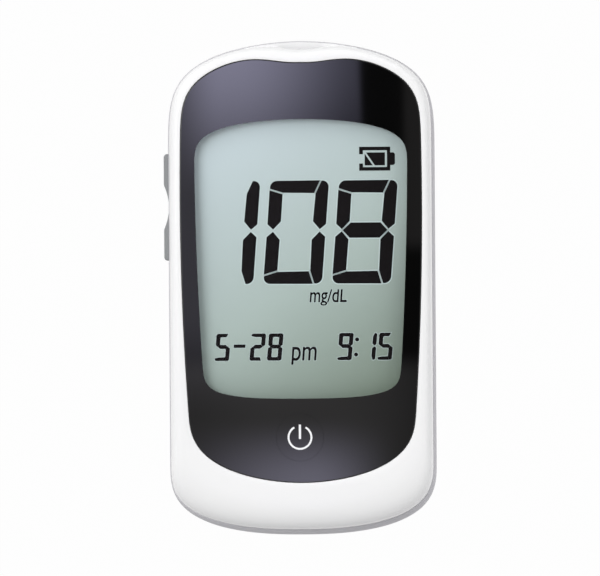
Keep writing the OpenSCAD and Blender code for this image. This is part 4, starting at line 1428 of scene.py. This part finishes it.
@dataclass
class Display:
    """The liquid crystal cell, its polariser and the figures it shows."""

    form: Form
    film: float = 0.05  # thickness of the polariser
    film_rim: float = 0.4  # what it leaves free of the glass's edge
    film_top: float = 0.8  # how far it reaches past the window
    ink: float = 0.012  # thickness of the figures
    # The glow is a painted pale halo, a painted highlight round each figure
    glow: tuple[float, float] = (0.2, 0.09)  # width of the pale edge round large and small figures
    large: Figure = Figure(20.2, 11.5, 2.62, 2.5, 3.0, 1.3, 0.3, 0.0755)
    small: Figure = Figure(5.32, 2.85, 0.84, 0.72, 0.78, 0.38, 0.06, 0.09)
    reading: tuple[tuple[str, float], ...] = (("1", -20.98), ("0", -7.5), ("8", 5.98))
    reading_y: float = 0.8
    clock: tuple[tuple[str, float], ...] = (
        ("5", -17.19), ("2", -10.34), ("8", -6.91), ("9", 6.85), ("1", 11.47), ("5", 14.72),
    )
    clock_y: float = -14.23
    dash: tuple[tuple[float, float], ...] = (
        (-13.42, -11.7), (-11.12, -11.7), (-11.06, -11.03), (-13.36, -11.03),
    )
    colon: tuple[tuple[float, float], ...] = ((10.58, -13.15), (10.81, -10.19))
    colon_radius: float = 0.41
    marks: tuple[Words, ...] = (
        Words("mg/dL", 1.41, -2.84, 7.18, 1.92, 0.57, 0.65),
        Words("pm", -2.29, -14.23, 4.78, 2.64, 0.7, 0.84),
    )
    pin_row: tuple[int, float, float, float] = (20, 1.9, 0.5, 0.3)  # number, pitch, width, thickness

    def charge_sign(self) -> list[np.ndarray]:
        """The battery sign: an open frame with its nub, round a block that a slant divides."""
        x0, x1, x2, y0, y1, line = 11.45, 17.54, 18.46, 22.87, 27.55, 0.7
        frame_line = [
            (x0, y1), (x0, y1 - 1.45), (x0 + 0.74, y1 - 1.45), (x0 + 0.74, y1 - line),
            (x1 - 0.64, y1 - line), (x1 - 0.64, y0 + line), (x0 + 0.74, y0 + line),
            (x0 + 0.74, y0 + 1.41), (x0, y0 + 1.41), (x0, y0), (x1, y0), (x1, y0 + 1.08),
            (x2 - 0.3, y0 + 1.08), (x2, y0 + 1.38), (x2, y1 - 1.42), (x2 - 0.3, y1 - 1.12),
            (x1, y1 - 1.12), (x1, y1),
        ]
        low, high = 23.9, 26.43
        return [np.array(line) for line in (
            frame_line,
            [(12.53, low), (14.12, low), (12.53, high - 0.22)],
            [(12.8, high), (14.52, low), (16.5, low), (16.5, high)],
        )]

    def lines(self, large: float = 0.0, small: float = 0.0) -> list[np.ndarray]:
        """The outlines of the reading and the clock, which are switched on.

        Args:
            large: How far the outlines of the reading are moved outwards.
            small: How far those of the clock are.

        Returns:
            Closed outlines, anticlockwise.
        """
        reading, clock = [], []
        for figure, x in self.reading:
            reading += self.large.drawn(figure, x, self.reading_y)
        for figure, x in self.clock:
            clock += self.small.drawn(figure, x, self.clock_y)
        clock.append(np.array(self.dash))
        clock += [circle(place, self.colon_radius, 24) for place in self.colon]
        return [grown_line(line, large) for line in reading] + [grown_line(line, small) for line in clock]

    def words(self, name: str, weight: float, low: float, high: float) -> list[bpy.types.Object]:
        """The unit and the time mark as thin plates."""
        return [mark.made(f"{name}_{i}", weight, low, high) for i, mark in enumerate(self.marks)]

    def build(self) -> None:
        """Builds the cell, its film and its figures, and dresses what carries them."""
        low, high = lowest("display_glass"), highest("display_glass")
        fitted(edged("display_glass", "display_glass_cell", 0.08), CELL_GLASS, slot="display_glass")
        left, right, bottom = low[0] + self.film_rim, high[0] - self.film_rim, low[1] + self.film_rim
        top = self.form.window.top.edge + self.film_top
        film_line = np.array([(left, bottom), (right, bottom), (right, top), (left, top)])
        foot = high[2] + self.film
        fitted(slabs("display_film", [film_line], high[2], foot), POLARISER_PAINTED_SHADE, slot="display_glass")
        parts = (
            ("display_figures", self.charge_sign() + self.lines(), 0.0, self.ink, CRYSTAL_INK),
            # The pale edges round the figures are a painted halo of light
            ("display_figure_painted_halos", self.lines(*self.glow), self.glow[1], self.ink / 2, CRYSTAL_PAINTED_HALO),
        )
        for name, lines, weight, height, finish in parts:
            piece = slabs(name, lines, foot, foot + height)
            joined(piece, self.words(name, weight, foot, foot + height))
            fitted(piece, finish, slot="display_glass")
        fitted(edged("display_holder", "display_holder_frame", 0.1), PALE_ABS, slot="pale_plastic")
        dressed("display_reflector", REFLECTOR)
        self.pins()

    def pins(self) -> None:
        """Grows the row of pins from the cell's ledge to the board."""
        low, high = lowest("display_pins"), highest("display_pins")
        (count, pitch, width, thickness), middle = self.pin_row, (low + high) / 2
        places = [((i - (count - 1) / 2) * pitch, middle[1], middle[2]) for i in range(count)]
        piece = grown_boxes("display_pin_row", places, (width, thickness, high[2] - low[2]), GOLD_PLATE)
        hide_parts("display_pins")
        fitted(piece, GOLD_PLATE, slot="gold_plate")


# ---- Side key -------------------------------------------------------------------------------


@dataclass
class RockerKey:
    """The grey rocker in the side: two flat humps with a round valley for the thumb between them."""

    outer_x: float = -27.1
    back_x: float = -23.0
    middle: tuple[float, float] = (16.0, 7.35)  # y and z
    half: tuple[float, float] = (10.5, 2.1)
    face_radius: float = 3.7  # across the key
    valley_depth: float = 1.03
    valley_radius: float = 9.66
    corner: float = 0.7  # the round at each end
    soft: float = 0.28  # the round along each side
    blend: float = 0.16  # how softly a hump runs into the valley
    steps: tuple[int, int] = (150, 36)
    end_share: float = 0.65  # how much closer together the steps are at the ends
    inner_x: float = -23.4  # where the hub and the arms start, inside the cap
    hub: tuple[float, float] = (1.6, 1.9)  # half size along and up
    pin_hole: tuple[float, float] = (0.8, 14.7)  # radius and height
    arm: tuple[float, float, float, float] = (7.5, 0.9, -22.3, 11.05)  # place, half width, end, top

    def spread(self, half: float, count: int) -> np.ndarray:
        """Places from one end to the other, closer together at both ends."""
        even = np.linspace(-1, 1, count)
        return half * ((1 - self.end_share) * even + self.end_share * np.sin(even * math.pi / 2))

    def face(self) -> np.ndarray:
        """The outer face as rows of points along the key."""
        along, up = (self.spread(h, n) for h, n in zip(self.half, self.steps))
        y, z = np.meshgrid(along, up, indexing="ij")
        round_face = self.face_radius - np.sqrt(self.face_radius**2 - z**2)
        for value, half, size in ((y, self.half[0], self.corner), (z, self.half[1], self.soft)):
            past = np.clip(np.abs(value) - (half - size), 0, size)
            round_face = round_face + size - np.sqrt(size**2 - past**2)
        hump = self.outer_x + round_face
        valley = self.outer_x + self.valley_depth - self.valley_radius
        valley = valley + np.sqrt(np.maximum(self.valley_radius**2 - y**2, 0))
        near = np.maximum(self.blend - np.abs(hump - valley), 0) / self.blend
        x = np.maximum(hump, valley) + near**2 * self.blend / 4
        return np.stack([x, self.middle[0] + y, self.middle[1] + z], axis=-1)

    def cap(self) -> bpy.types.Object:
        """The part that the thumb presses, closed at its back."""
        grid = self.face()
        rows, columns = grid.shape[:2]
        number = np.arange(rows * columns).reshape(rows, columns)
        faces = [
            [int(number[i, j]), int(number[i, j + 1]), int(number[i + 1, j + 1]), int(number[i + 1, j])]
            for i in range(rows - 1) for j in range(columns - 1)
        ]
        rim = list(number[0, :-1]) + list(number[:-1, -1]) + list(number[-1, :0:-1]) + list(number[:0:-1, 0])
        back = grid.reshape(-1, 3)[rim].copy()
        back[:, 0] = self.back_x
        first, count = rows * columns, len(rim)
        for i in range(count):
            j = (i + 1) % count
            faces.append([int(rim[i]), first + i, first + j, int(rim[j])])
        faces.append([first + i for i in range(count)])
        piece = make_piece("side_key_rocker", np.vstack([grid.reshape(-1, 3), back]), faces)
        return outward(piece)

    def build(self) -> None:
        """Builds the rocker with its hub and its two arms, and dresses its pin."""
        (y, z), (along, up), start = self.middle, self.hub, self.inner_x
        place, half, end, top = self.arm
        hole_radius, hole_height = self.pin_hole
        rubber_edge = math.radians(50)
        added = [block((start, y - along, z - up), (KEY_PIVOT[0] + along, y + along, z + up))]
        for middle in (y - place, y + place):
            added.append(block((start, middle - half, z), (end, middle + half, top)))
        hole = peg(KEY_PIVOT, 0.0, hole_radius, hole_height)
        piece = smoothed(carved(self.cap(), added, [hole]), rubber_edge)
        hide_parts("side_key")
        fitted(piece, GREY_RUBBER, "side_key", "grey_key")
        fitted(edged("side_key_pin", "side_key_pivot", 0.12), NICKEL_STEEL, slot="steel")


# ---- Batteries ------------------------------------------------------------------------------


@dataclass
class BatteryBay:
    """The door on its hinge, the two cells, their springs and their contact plates."""

    cell_x: float = 5.4
    cell_z: float = 6.7
    starts: tuple[float, float] = (-37.0, -40.05)  # y where the left and the right cell start
    length: float = 44.5
    radius: float = 5.25
    button: float = 1.0  # length of a cell's button
    bare_ends: tuple[float, float] = (0.7, 0.35)  # what the sleeve leaves free: flat end, button end
    band: float = 9.0  # how far down from the button end the copper band reaches
    bay: tuple[float, float] = (-40.5, 7.95)
    plate: float = 0.3  # thickness of the contact plates
    spring_length: float = 3.2
    spring: tuple[float, float, float] = (3.6, 2.2, 3.5)  # foot radius, top radius and turns
    wire: float = 0.25

    @property
    def skirt(self) -> float:
        """Length of a cell without its button."""
        return self.length - self.button

    def cell(self, x: float, start: float, way: int) -> list[np.ndarray]:
        """Rings of one cell, from its flat end to its button."""
        r, skirt = self.radius, self.skirt
        profile = [
            (0.6, 0.0), (r - 1.2, 0.0), (r - 1.05, 0.22), (r - 0.5, 0.3), (r - 0.12, 0.42),
            (r - 0.02, 0.6), (r, 0.8), (r, skirt * 0.33), (r, skirt * 0.66), (r, skirt - 1.5),
            (r - 0.1, skirt - 1.35), (r - 0.38, skirt - 1.15), (r - 0.38, skirt - 1.0),
            (r - 0.1, skirt - 0.8), (r, skirt - 0.65), (r, skirt - 0.3), (r - 0.15, skirt - 0.08),
            (r - 0.45, skirt), (2.1, skirt), (1.9, skirt + 0.12), (1.9, self.length - 0.25),
            (1.78, self.length - 0.05), (1.6, self.length), (0.4, self.length),
        ]
        turn = np.linspace(0, 2 * math.pi, 72, endpoint=False) * way
        rings = []
        for radius, along in profile:
            y = start + along if way > 0 else start + self.length - along
            rings.append(np.column_stack([
                x + radius * np.sin(turn), np.full(len(turn), y), self.cell_z + radius * np.cos(turn),
            ]))
        return rings

    def cells(self) -> bpy.types.Object:
        """Both cells, in printed sleeves with bare ends."""
        left = loft("battery_cell_pair", self.cell(-self.cell_x, self.starts[0], 1), False)
        right = loft("cell", self.cell(self.cell_x, self.starts[1], -1), False)
        return smoothed(outward(joined(left, [right])))

    def springs(self) -> bpy.types.Object:
        """Grows the two conical springs, which stand on the plates and press the flat ends."""
        foot, top, turns = self.spring
        sizes = {
            "Foot radius": foot, "Top radius": top, "Turns": turns,
            "Height": self.spring_length - 2 * self.wire, "Wire": self.wire,
        }
        low, high = self.bay[0] + self.plate + self.wire, self.bay[1] - self.plate - self.wire
        places = [(-self.cell_x, low, self.cell_z), (self.cell_x, high, self.cell_z)]
        grower = Grower("battery_coil_springs", places, sizes, [(-90.0, 0.0, 0.0), (90.0, 0.0, 0.0)])
        coil = grower.coil(*(grower.size(label) for label in sizes))
        return grower.grown(coil, NICKEL_STEEL)

    def build(self) -> None:
        """Builds the battery side of the meter."""
        cells = self.cells()
        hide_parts("battery_cells")
        fitted(cells, CELL_SLEEVE, slot="cell_wrap")
        start, end, band = self.bare_ends[0], self.skirt - self.bare_ends[1], self.skirt - self.band
        second_finish(cells, NICKEL_STEEL, lambda p: not start < self.along(p) < end)
        second_finish(cells, SLEEVE_BAND, lambda p: band < self.along(p) < end)
        springs = self.springs()
        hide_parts("battery_springs")
        fitted(springs, NICKEL_STEEL, slot="steel")
        fitted(edged("battery_plates", "battery_contact_plates", 0.06), NICKEL_STEEL, slot="steel")
        door = edged("battery_door", "battery_door_cover", 0.14, 3)
        # The door carries the rear shell's grey, which is painted shade
        fitted(door, SHELL_ABS_PAINTED_SHADE, "battery_door", "white_shell")
        fitted(edged("door_hinge_pin", "door_hinge_rod", 0.12), NICKEL_STEEL, slot="steel")

    def along(self, point: Vector) -> float:
        """Distance of a point from the flat end of its cell, in millimetres."""
        left, right = self.starts
        return point.y - left if point.x < 0 else right + self.length - point.y


# ---- Strip port and board -------------------------------------------------------------------


@dataclass
class StripPort:
    """The guide behind the slot in the rim, and the connector that reads the strip."""

    parts: tuple[tuple[str, float, Finish, str], ...] = (  # part, round on its edges, finish, slot
        ("guide", 0.08, WHITE_ABS, "pale_plastic"),
        ("connector", 0.08, MOULD_EPOXY, "chip_black"),
        ("contacts", 0.05, GOLD_PLATE, "gold_plate"),
    )

    def build(self) -> None:
        """Dresses the guide, the connector and its contacts."""
        for part, width, finish, slot in self.parts:
            fitted(edged(f"strip_{part}", f"strip_port_{part}", width), finish, slot=slot)


@dataclass
class Board:
    """The circuit board with its chips, crystal, buzzer, capacitors and switches."""

    capacitor: tuple[float, float, float] = (1.6, 0.8, 0.8)
    cap_length: float = 0.3  # of each plated end
    cap_step: float = 0.06  # how much thinner the ceramic is than its ends
    rows: tuple[float, float] = (-3.5, -14.02)  # x of each row
    middle: float = 19.425  # y of the rows' middle
    pitch: float = 2.0
    underside: float = 12.95
    chip_slack: float = 0.01  # what a chip's body may be larger than its size
    switches: tuple[tuple[str, Finish, str], ...] = (  # switch, and its plunger's finish and slot
        ("power", NICKEL_STEEL, "steel"),
        ("up", PALE_ABS, "pale_plastic"),
        ("down", PALE_ABS, "pale_plastic"),
    )

    def capacitors(self) -> None:
        """Grows the ceramic bodies and their plated ends, in two rows of four."""
        length, width, height = self.capacitor
        z = self.underside - height / 2
        places = [(x, self.middle + i * self.pitch, z) for x in self.rows for i in (-1.5, -0.5, 0.5, 1.5)]
        size = (length - 2 * self.cap_length, width - self.cap_step, height - self.cap_step)
        piece = grown_boxes("capacitor_bodies", places, size, TAN_CERAMIC)
        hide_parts("capacitors")
        fitted(piece, TAN_CERAMIC, slot="capacitor_tan")
        reach = (length - self.cap_length) / 2
        ends = [(x + s * reach, y, z) for x, y, z in places for s in (-1, 1)]
        caps = grown_boxes("capacitor_ends", ends, (self.cap_length, width, height), NICKEL_STEEL)
        fitted(caps, NICKEL_STEEL, slot="steel")

    def chip(self, node: str, name: str, size: tuple[float, float]) -> None:
        """Dresses a chip: its body in moulding compound and its legs in plated steel."""
        piece = edged(node, name, 0.03)
        fitted(piece, MOULD_EPOXY, slot="chip_black")
        middle = (lowest(node) + highest(node)) / 2
        half = np.array(size) / 2 + self.chip_slack
        second_finish(
            piece, NICKEL_STEEL,
            lambda p: abs(p.x - middle[0]) > half[0] or abs(p.y - middle[1]) > half[1],
        )

    def build(self) -> None:
        """Dresses the board and everything on it."""
        fitted(edged("circuit_board", "main_board", 0.04), GREEN_MASK, slot="board_green")
        self.chip("microcontroller", "microcontroller_chip", (9.0, 9.0))
        self.chip("memory_chip", "memory_chip_body", (5.0, 4.0))
        fitted(edged("crystal", "crystal_can", 0.05), NICKEL_STEEL, slot="steel")
        fitted(edged("buzzer", "buzzer_can", 0.2, 3), MOULD_EPOXY, slot="chip_black")
        self.capacitors()
        for name, finish, slot in self.switches:
            fitted(edged(f"{name}_switch", f"{name}_switch_case", 0.1), MOULD_EPOXY, slot="chip_black")
            body = f"{name}_plunger"
            fitted(edged(body, f"{name}_switch_plunger", 0.12), finish, body, slot)


# ---- Studio ---------------------------------------------------------------------------------


@dataclass(frozen=True)
class Lamp:
    """A square soft light."""

    name: str
    place: tuple[float, float, float]  # in metres
    aim: tuple[float, float, float]
    size: float  # of each side, in metres
    power: float  # in watts
    colour: str = "FFFFFF"


@dataclass(frozen=True)
class Glow:
    """Light of one colour on the card, which fades in along one or more directions."""

    colour: str
    strength: float
    fades: tuple[tuple[float, float, float, float], ...]  # direction x and y, from and to in metres
    lowest: float = 0.0  # share of the strength that the last fade leaves


@dataclass
class Studio:
    """A pale floor, soft light, a card with five glows for the gloss to show, and the camera."""

    distance: float = 2.5
    scale: float = 5091.0  # pixels to a metre, in a frame 600 pixels wide
    frame_width: float = 600.0
    sensor: float = 36.0
    far: float = 10.0  # where the camera's view ends, in metres
    paper: tuple[str, float] = ("8C8C8D", 0.6)  # the floor's colour and roughness under its white
    paper_glow: float = 0.985  # how much of the floor's white is there without light
    floor_size: tuple[float, float] = (3000.0, 20.0)  # half width and thickness, in millimetres
    aim: tuple[float, float, float] = (-0.0004019, -0.0000362, 0.0105)
    lean: float = 0.0157  # how far the camera stands to the right, for each metre that it stands up
    roll: float = -0.0069
    heights: tuple[float, ...] = (0.0, 0.2, 0.5, 0.8)  # sines of the elevations that levels are given for
    dome: float = 2.0  # strength of the sky
    sky: tuple[tuple[tuple[float, float], tuple[float, ...]], ...] = (  # a side, and its levels
        ((-1.0, 0.0), (0.42, 0.6, 0.58, 0.14)),
        ((1.0, 0.0), (0.55, 1.0, 0.88, 0.14)),
        ((0.0, 1.0), (0.9, 0.9, 0.75, 0.14)),
        ((0.0, -1.0), (0.12, 0.31, 0.42, 0.14)),
    )
    lamps: tuple[Lamp, ...] = (
        Lamp("key_light", (-0.66, 0.3, 0.94), (0.0, 0.0, 0.0), 0.7, 6.7),
    )
    card_height: float = 1.0
    card_shift: float = 0.0154  # how far the camera's place moves what the gloss shows to the left
    card_size: tuple[float, float] = (0.6, 1.0)
    glows: tuple[Glow, ...] = (
        # A window high on the left, with a crisp right-hand edge
        Glow("DEDCFF", 5.75, (
            (1.0, 0.0, -0.1, -0.055), (0.0, 1.0, 0.052, 0.16), (1.0, 0.03, 0.0485, 0.0435),
            (1.0, 0.0, 0.05, -0.045),
        ), 0.22),
        # A dim wall on the left
        Glow("EDEAFF", 1.0, ((1.0, 0.0, 0.04, -0.06), (0.0, 1.0, -0.1, -0.02)), 0.02),
        # A pale edge on the right
        Glow("FFF8F8", 0.25, ((0.0, 1.0, 0.015, 0.03), (1.0, 0.0, 0.07, 0.076))),
        # A table edge below, brighter towards the bottom
        Glow("FFFBFC", 0.64, (
            (0.0, 1.0, -0.05, -0.07), (1.0, 0.0, 0.14, 0.02), (1.0, 0.0, -0.085, -0.02),
        ), 0.72),
        Glow("E2DFFF", 3.15, (
            (0.0, 1.0, -0.096, -0.145), (1.0, 0.0, 0.07, 0.005), (1.0, 0.0, -0.105, 0.01),
        )),
    )

    def seen(self, tree: bpy.types.NodeTree) -> bpy.types.Node:
        """One for the eye, and for what gloss and clear pieces show of the background; else zero."""
        sight = add(tree, "ShaderNodeLightPath").outputs
        whole = sight["Is Camera Ray"]
        for kind in ("Is Glossy Ray", "Is Transmission Ray"):
            whole = sum_of(tree, "MAXIMUM", whole, sight[kind])
        return whole

    def floor(self) -> None:
        """The floor: plain white to the eye, with a trace of the shadow that falls on it."""
        (half, thickness), (colour, roughness) = self.floor_size, self.paper
        floor = block((-half, -half, -thickness), (half, half, 0.0))
        floor.name = "floor"
        material = bpy.data.materials.new("white paper sweep")
        tree = blank_tree(material)
        paper = add(tree, "ShaderNodeBsdfDiffuse", Color=linear(colour), Roughness=roughness)
        glow = add(tree, "ShaderNodeEmission", Color=linear("FFFFFF"), Strength=1.0)
        share = sum_of(tree, "MULTIPLY", self.seen(tree), self.paper_glow)
        mix = add(tree, "ShaderNodeMixShader", input_0=share, input_1=paper, input_2=glow)
        add(tree, "ShaderNodeOutputMaterial", Surface=mix)
        floor.data.materials.append(material)

    def world(self) -> None:
        """Soft light whose level goes by its side and its height, and white to the eye."""
        world = bpy.data.worlds.new("studio")
        bpy.context.scene.world = world
        tree = blank_tree(world)
        place = add(tree, "ShaderNodeTexCoord").outputs["Generated"]
        height = add(tree, "ShaderNodeSeparateXYZ", Vector=place).outputs["Z"]
        level = add(
            tree, "ShaderNodeVectorMath", {"operation": "MULTIPLY"}, input_0=place, input_1=(1.0, 1.0, 0.0),
        )
        way = add(tree, "ShaderNodeVectorMath", {"operation": "NORMALIZE"}, input_0=level)
        power = 0.0
        for side, levels in self.sky:
            ahead = sum_of(tree, "MAXIMUM", reach_along(tree, way, side), 0.0)
            ramp = add(tree, "ShaderNodeValToRGB", Fac=height)
            stops = ramp.color_ramp.elements
            stops.remove(stops[1])
            for i, (place_up, strength) in enumerate(zip(self.heights, levels)):
                stop = stops[0] if i == 0 else stops.new(place_up)
                stop.position, stop.color = place_up, (strength, strength, strength, 1.0)
            power = sum_of(tree, "MULTIPLY_ADD", sum_of(tree, "MULTIPLY", ahead, ahead), ramp, power)
        power = sum_of(tree, "MULTIPLY", power, self.dome)
        light = add(tree, "ShaderNodeBackground", Color=linear("FFFFFF"), Strength=power)
        white = add(tree, "ShaderNodeBackground", Color=linear("FFFFFF"), Strength=1.0)
        mix = add(tree, "ShaderNodeMixShader", input_0=self.seen(tree), input_1=light, input_2=white)
        add(tree, "ShaderNodeOutputWorld", Surface=mix)

    def light(self, lamp: Lamp) -> None:
        """Hangs one lamp and turns it to what it lights."""
        data = bpy.data.lights.new(lamp.name, "AREA")
        data.shape, data.size, data.energy = "SQUARE", lamp.size, lamp.power
        data.color = linear(lamp.colour)[:3]
        hung = bpy.data.objects.new(lamp.name, data)
        hung.location = lamp.place
        way = Vector(lamp.aim) - Vector(lamp.place)
        hung.rotation_euler = way.to_track_quat("-Z", "Y").to_euler()
        bpy.context.scene.collection.objects.link(hung)

    def faded(self, tree: bpy.types.NodeTree, glow: Glow) -> bpy.types.Node:
        """A glow's strength at each point of the card, after all its fades."""
        place = add(tree, "ShaderNodeTexCoord").outputs["Object"]
        power = glow.strength
        for i, (way_x, way_y, start, end) in enumerate(glow.fades):
            start, end = (edge - way_x * self.card_shift for edge in (start, end))
            # A Map Range needs its start below its end, so a falling fade swaps its two results
            last = i == len(glow.fades) - 1
            low, high = (glow.lowest if last else 0.0), 1.0
            if start > end:
                start, end, low, high = end, start, high, low
            fade = add(
                tree, "ShaderNodeMapRange", {"interpolation_type": "SMOOTHSTEP"},
                Value=reach_along(tree, place, (way_x, way_y)),
                From_Min=start, From_Max=end, To_Min=low, To_Max=high,
            )
            power = sum_of(tree, "MULTIPLY", power, fade)
        return power

    def card(self) -> None:
        """Hangs the card, which neither the camera nor matt surfaces see."""
        wide, deep = (size / 2 / MM for size in self.card_size)
        corners = np.array([(-wide, -deep), (wide, -deep), (wide, deep), (-wide, deep)])
        piece = make_piece("gloss_card", lifted(corners, self.card_height / MM), [[3, 2, 1, 0]])
        material = bpy.data.materials.new("glowing card")
        tree = blank_tree(material)
        whole = None
        for glow in self.glows:
            light = add(
                tree, "ShaderNodeEmission", Color=linear(glow.colour), Strength=self.faded(tree, glow),
            )
            whole = light if whole is None else add(
                tree, "ShaderNodeAddShader", input_0=whole, input_1=light,
            )
        add(tree, "ShaderNodeOutputMaterial", Surface=whole)
        piece.data.materials.append(material)
        for sight in ("camera", "diffuse", "shadow", "transmission", "volume_scatter"):
            setattr(piece, f"visible_{sight}", False)

    def camera(self) -> None:
        """The camera: far off, straight above the meter, with its frame turned a little."""
        data = bpy.data.cameras.new("camera")
        data.sensor_width = self.sensor
        data.lens = data.sensor_width * self.distance * self.scale / self.frame_width
        data.clip_end = self.far
        eye = bpy.data.objects.new("camera", data)
        turn = Euler((0.0, math.atan(self.lean), self.roll))
        eye.rotation_euler = turn
        eye.location = Vector(self.aim) + turn.to_matrix() @ Vector((0.0, 0.0, self.distance))
        bpy.context.scene.collection.objects.link(eye)
        bpy.context.scene.camera = eye

    def build(self) -> None:
        """Sets up the room round the meter."""
        bpy.context.scene.view_settings.view_transform = "Standard"
        self.camera()
        self.floor()
        self.world()
        for lamp in self.lamps:
            self.light(lamp)
        self.card()


# ---- All of it ------------------------------------------------------------------------------


def main() -> None:
    """Builds and dresses the meter, sub-assembly by sub-assembly, and the studio round it."""
    logging.basicConfig(level=logging.INFO, format="%(name)s %(message)s")
    form = Form()
    Studio().build()
    Housing(form).build()
    Panel(form).build()
    Display(form).build()
    RockerKey().build()
    BatteryBay().build()
    StripPort().build()
    Board().build()
    Screws("case_screw_set", "case_screws", CASE_PLACES, 3.2, (1.95, 1.3), (1.0, 8.0)).build()
    Screws("board_screw_set", "board_screws", BOARD_PLACES, 12.95, (1.4, 0.8), (0.7, 1.9), 0.5, 0.06).build()


if __name__ == "__main__":
    main()
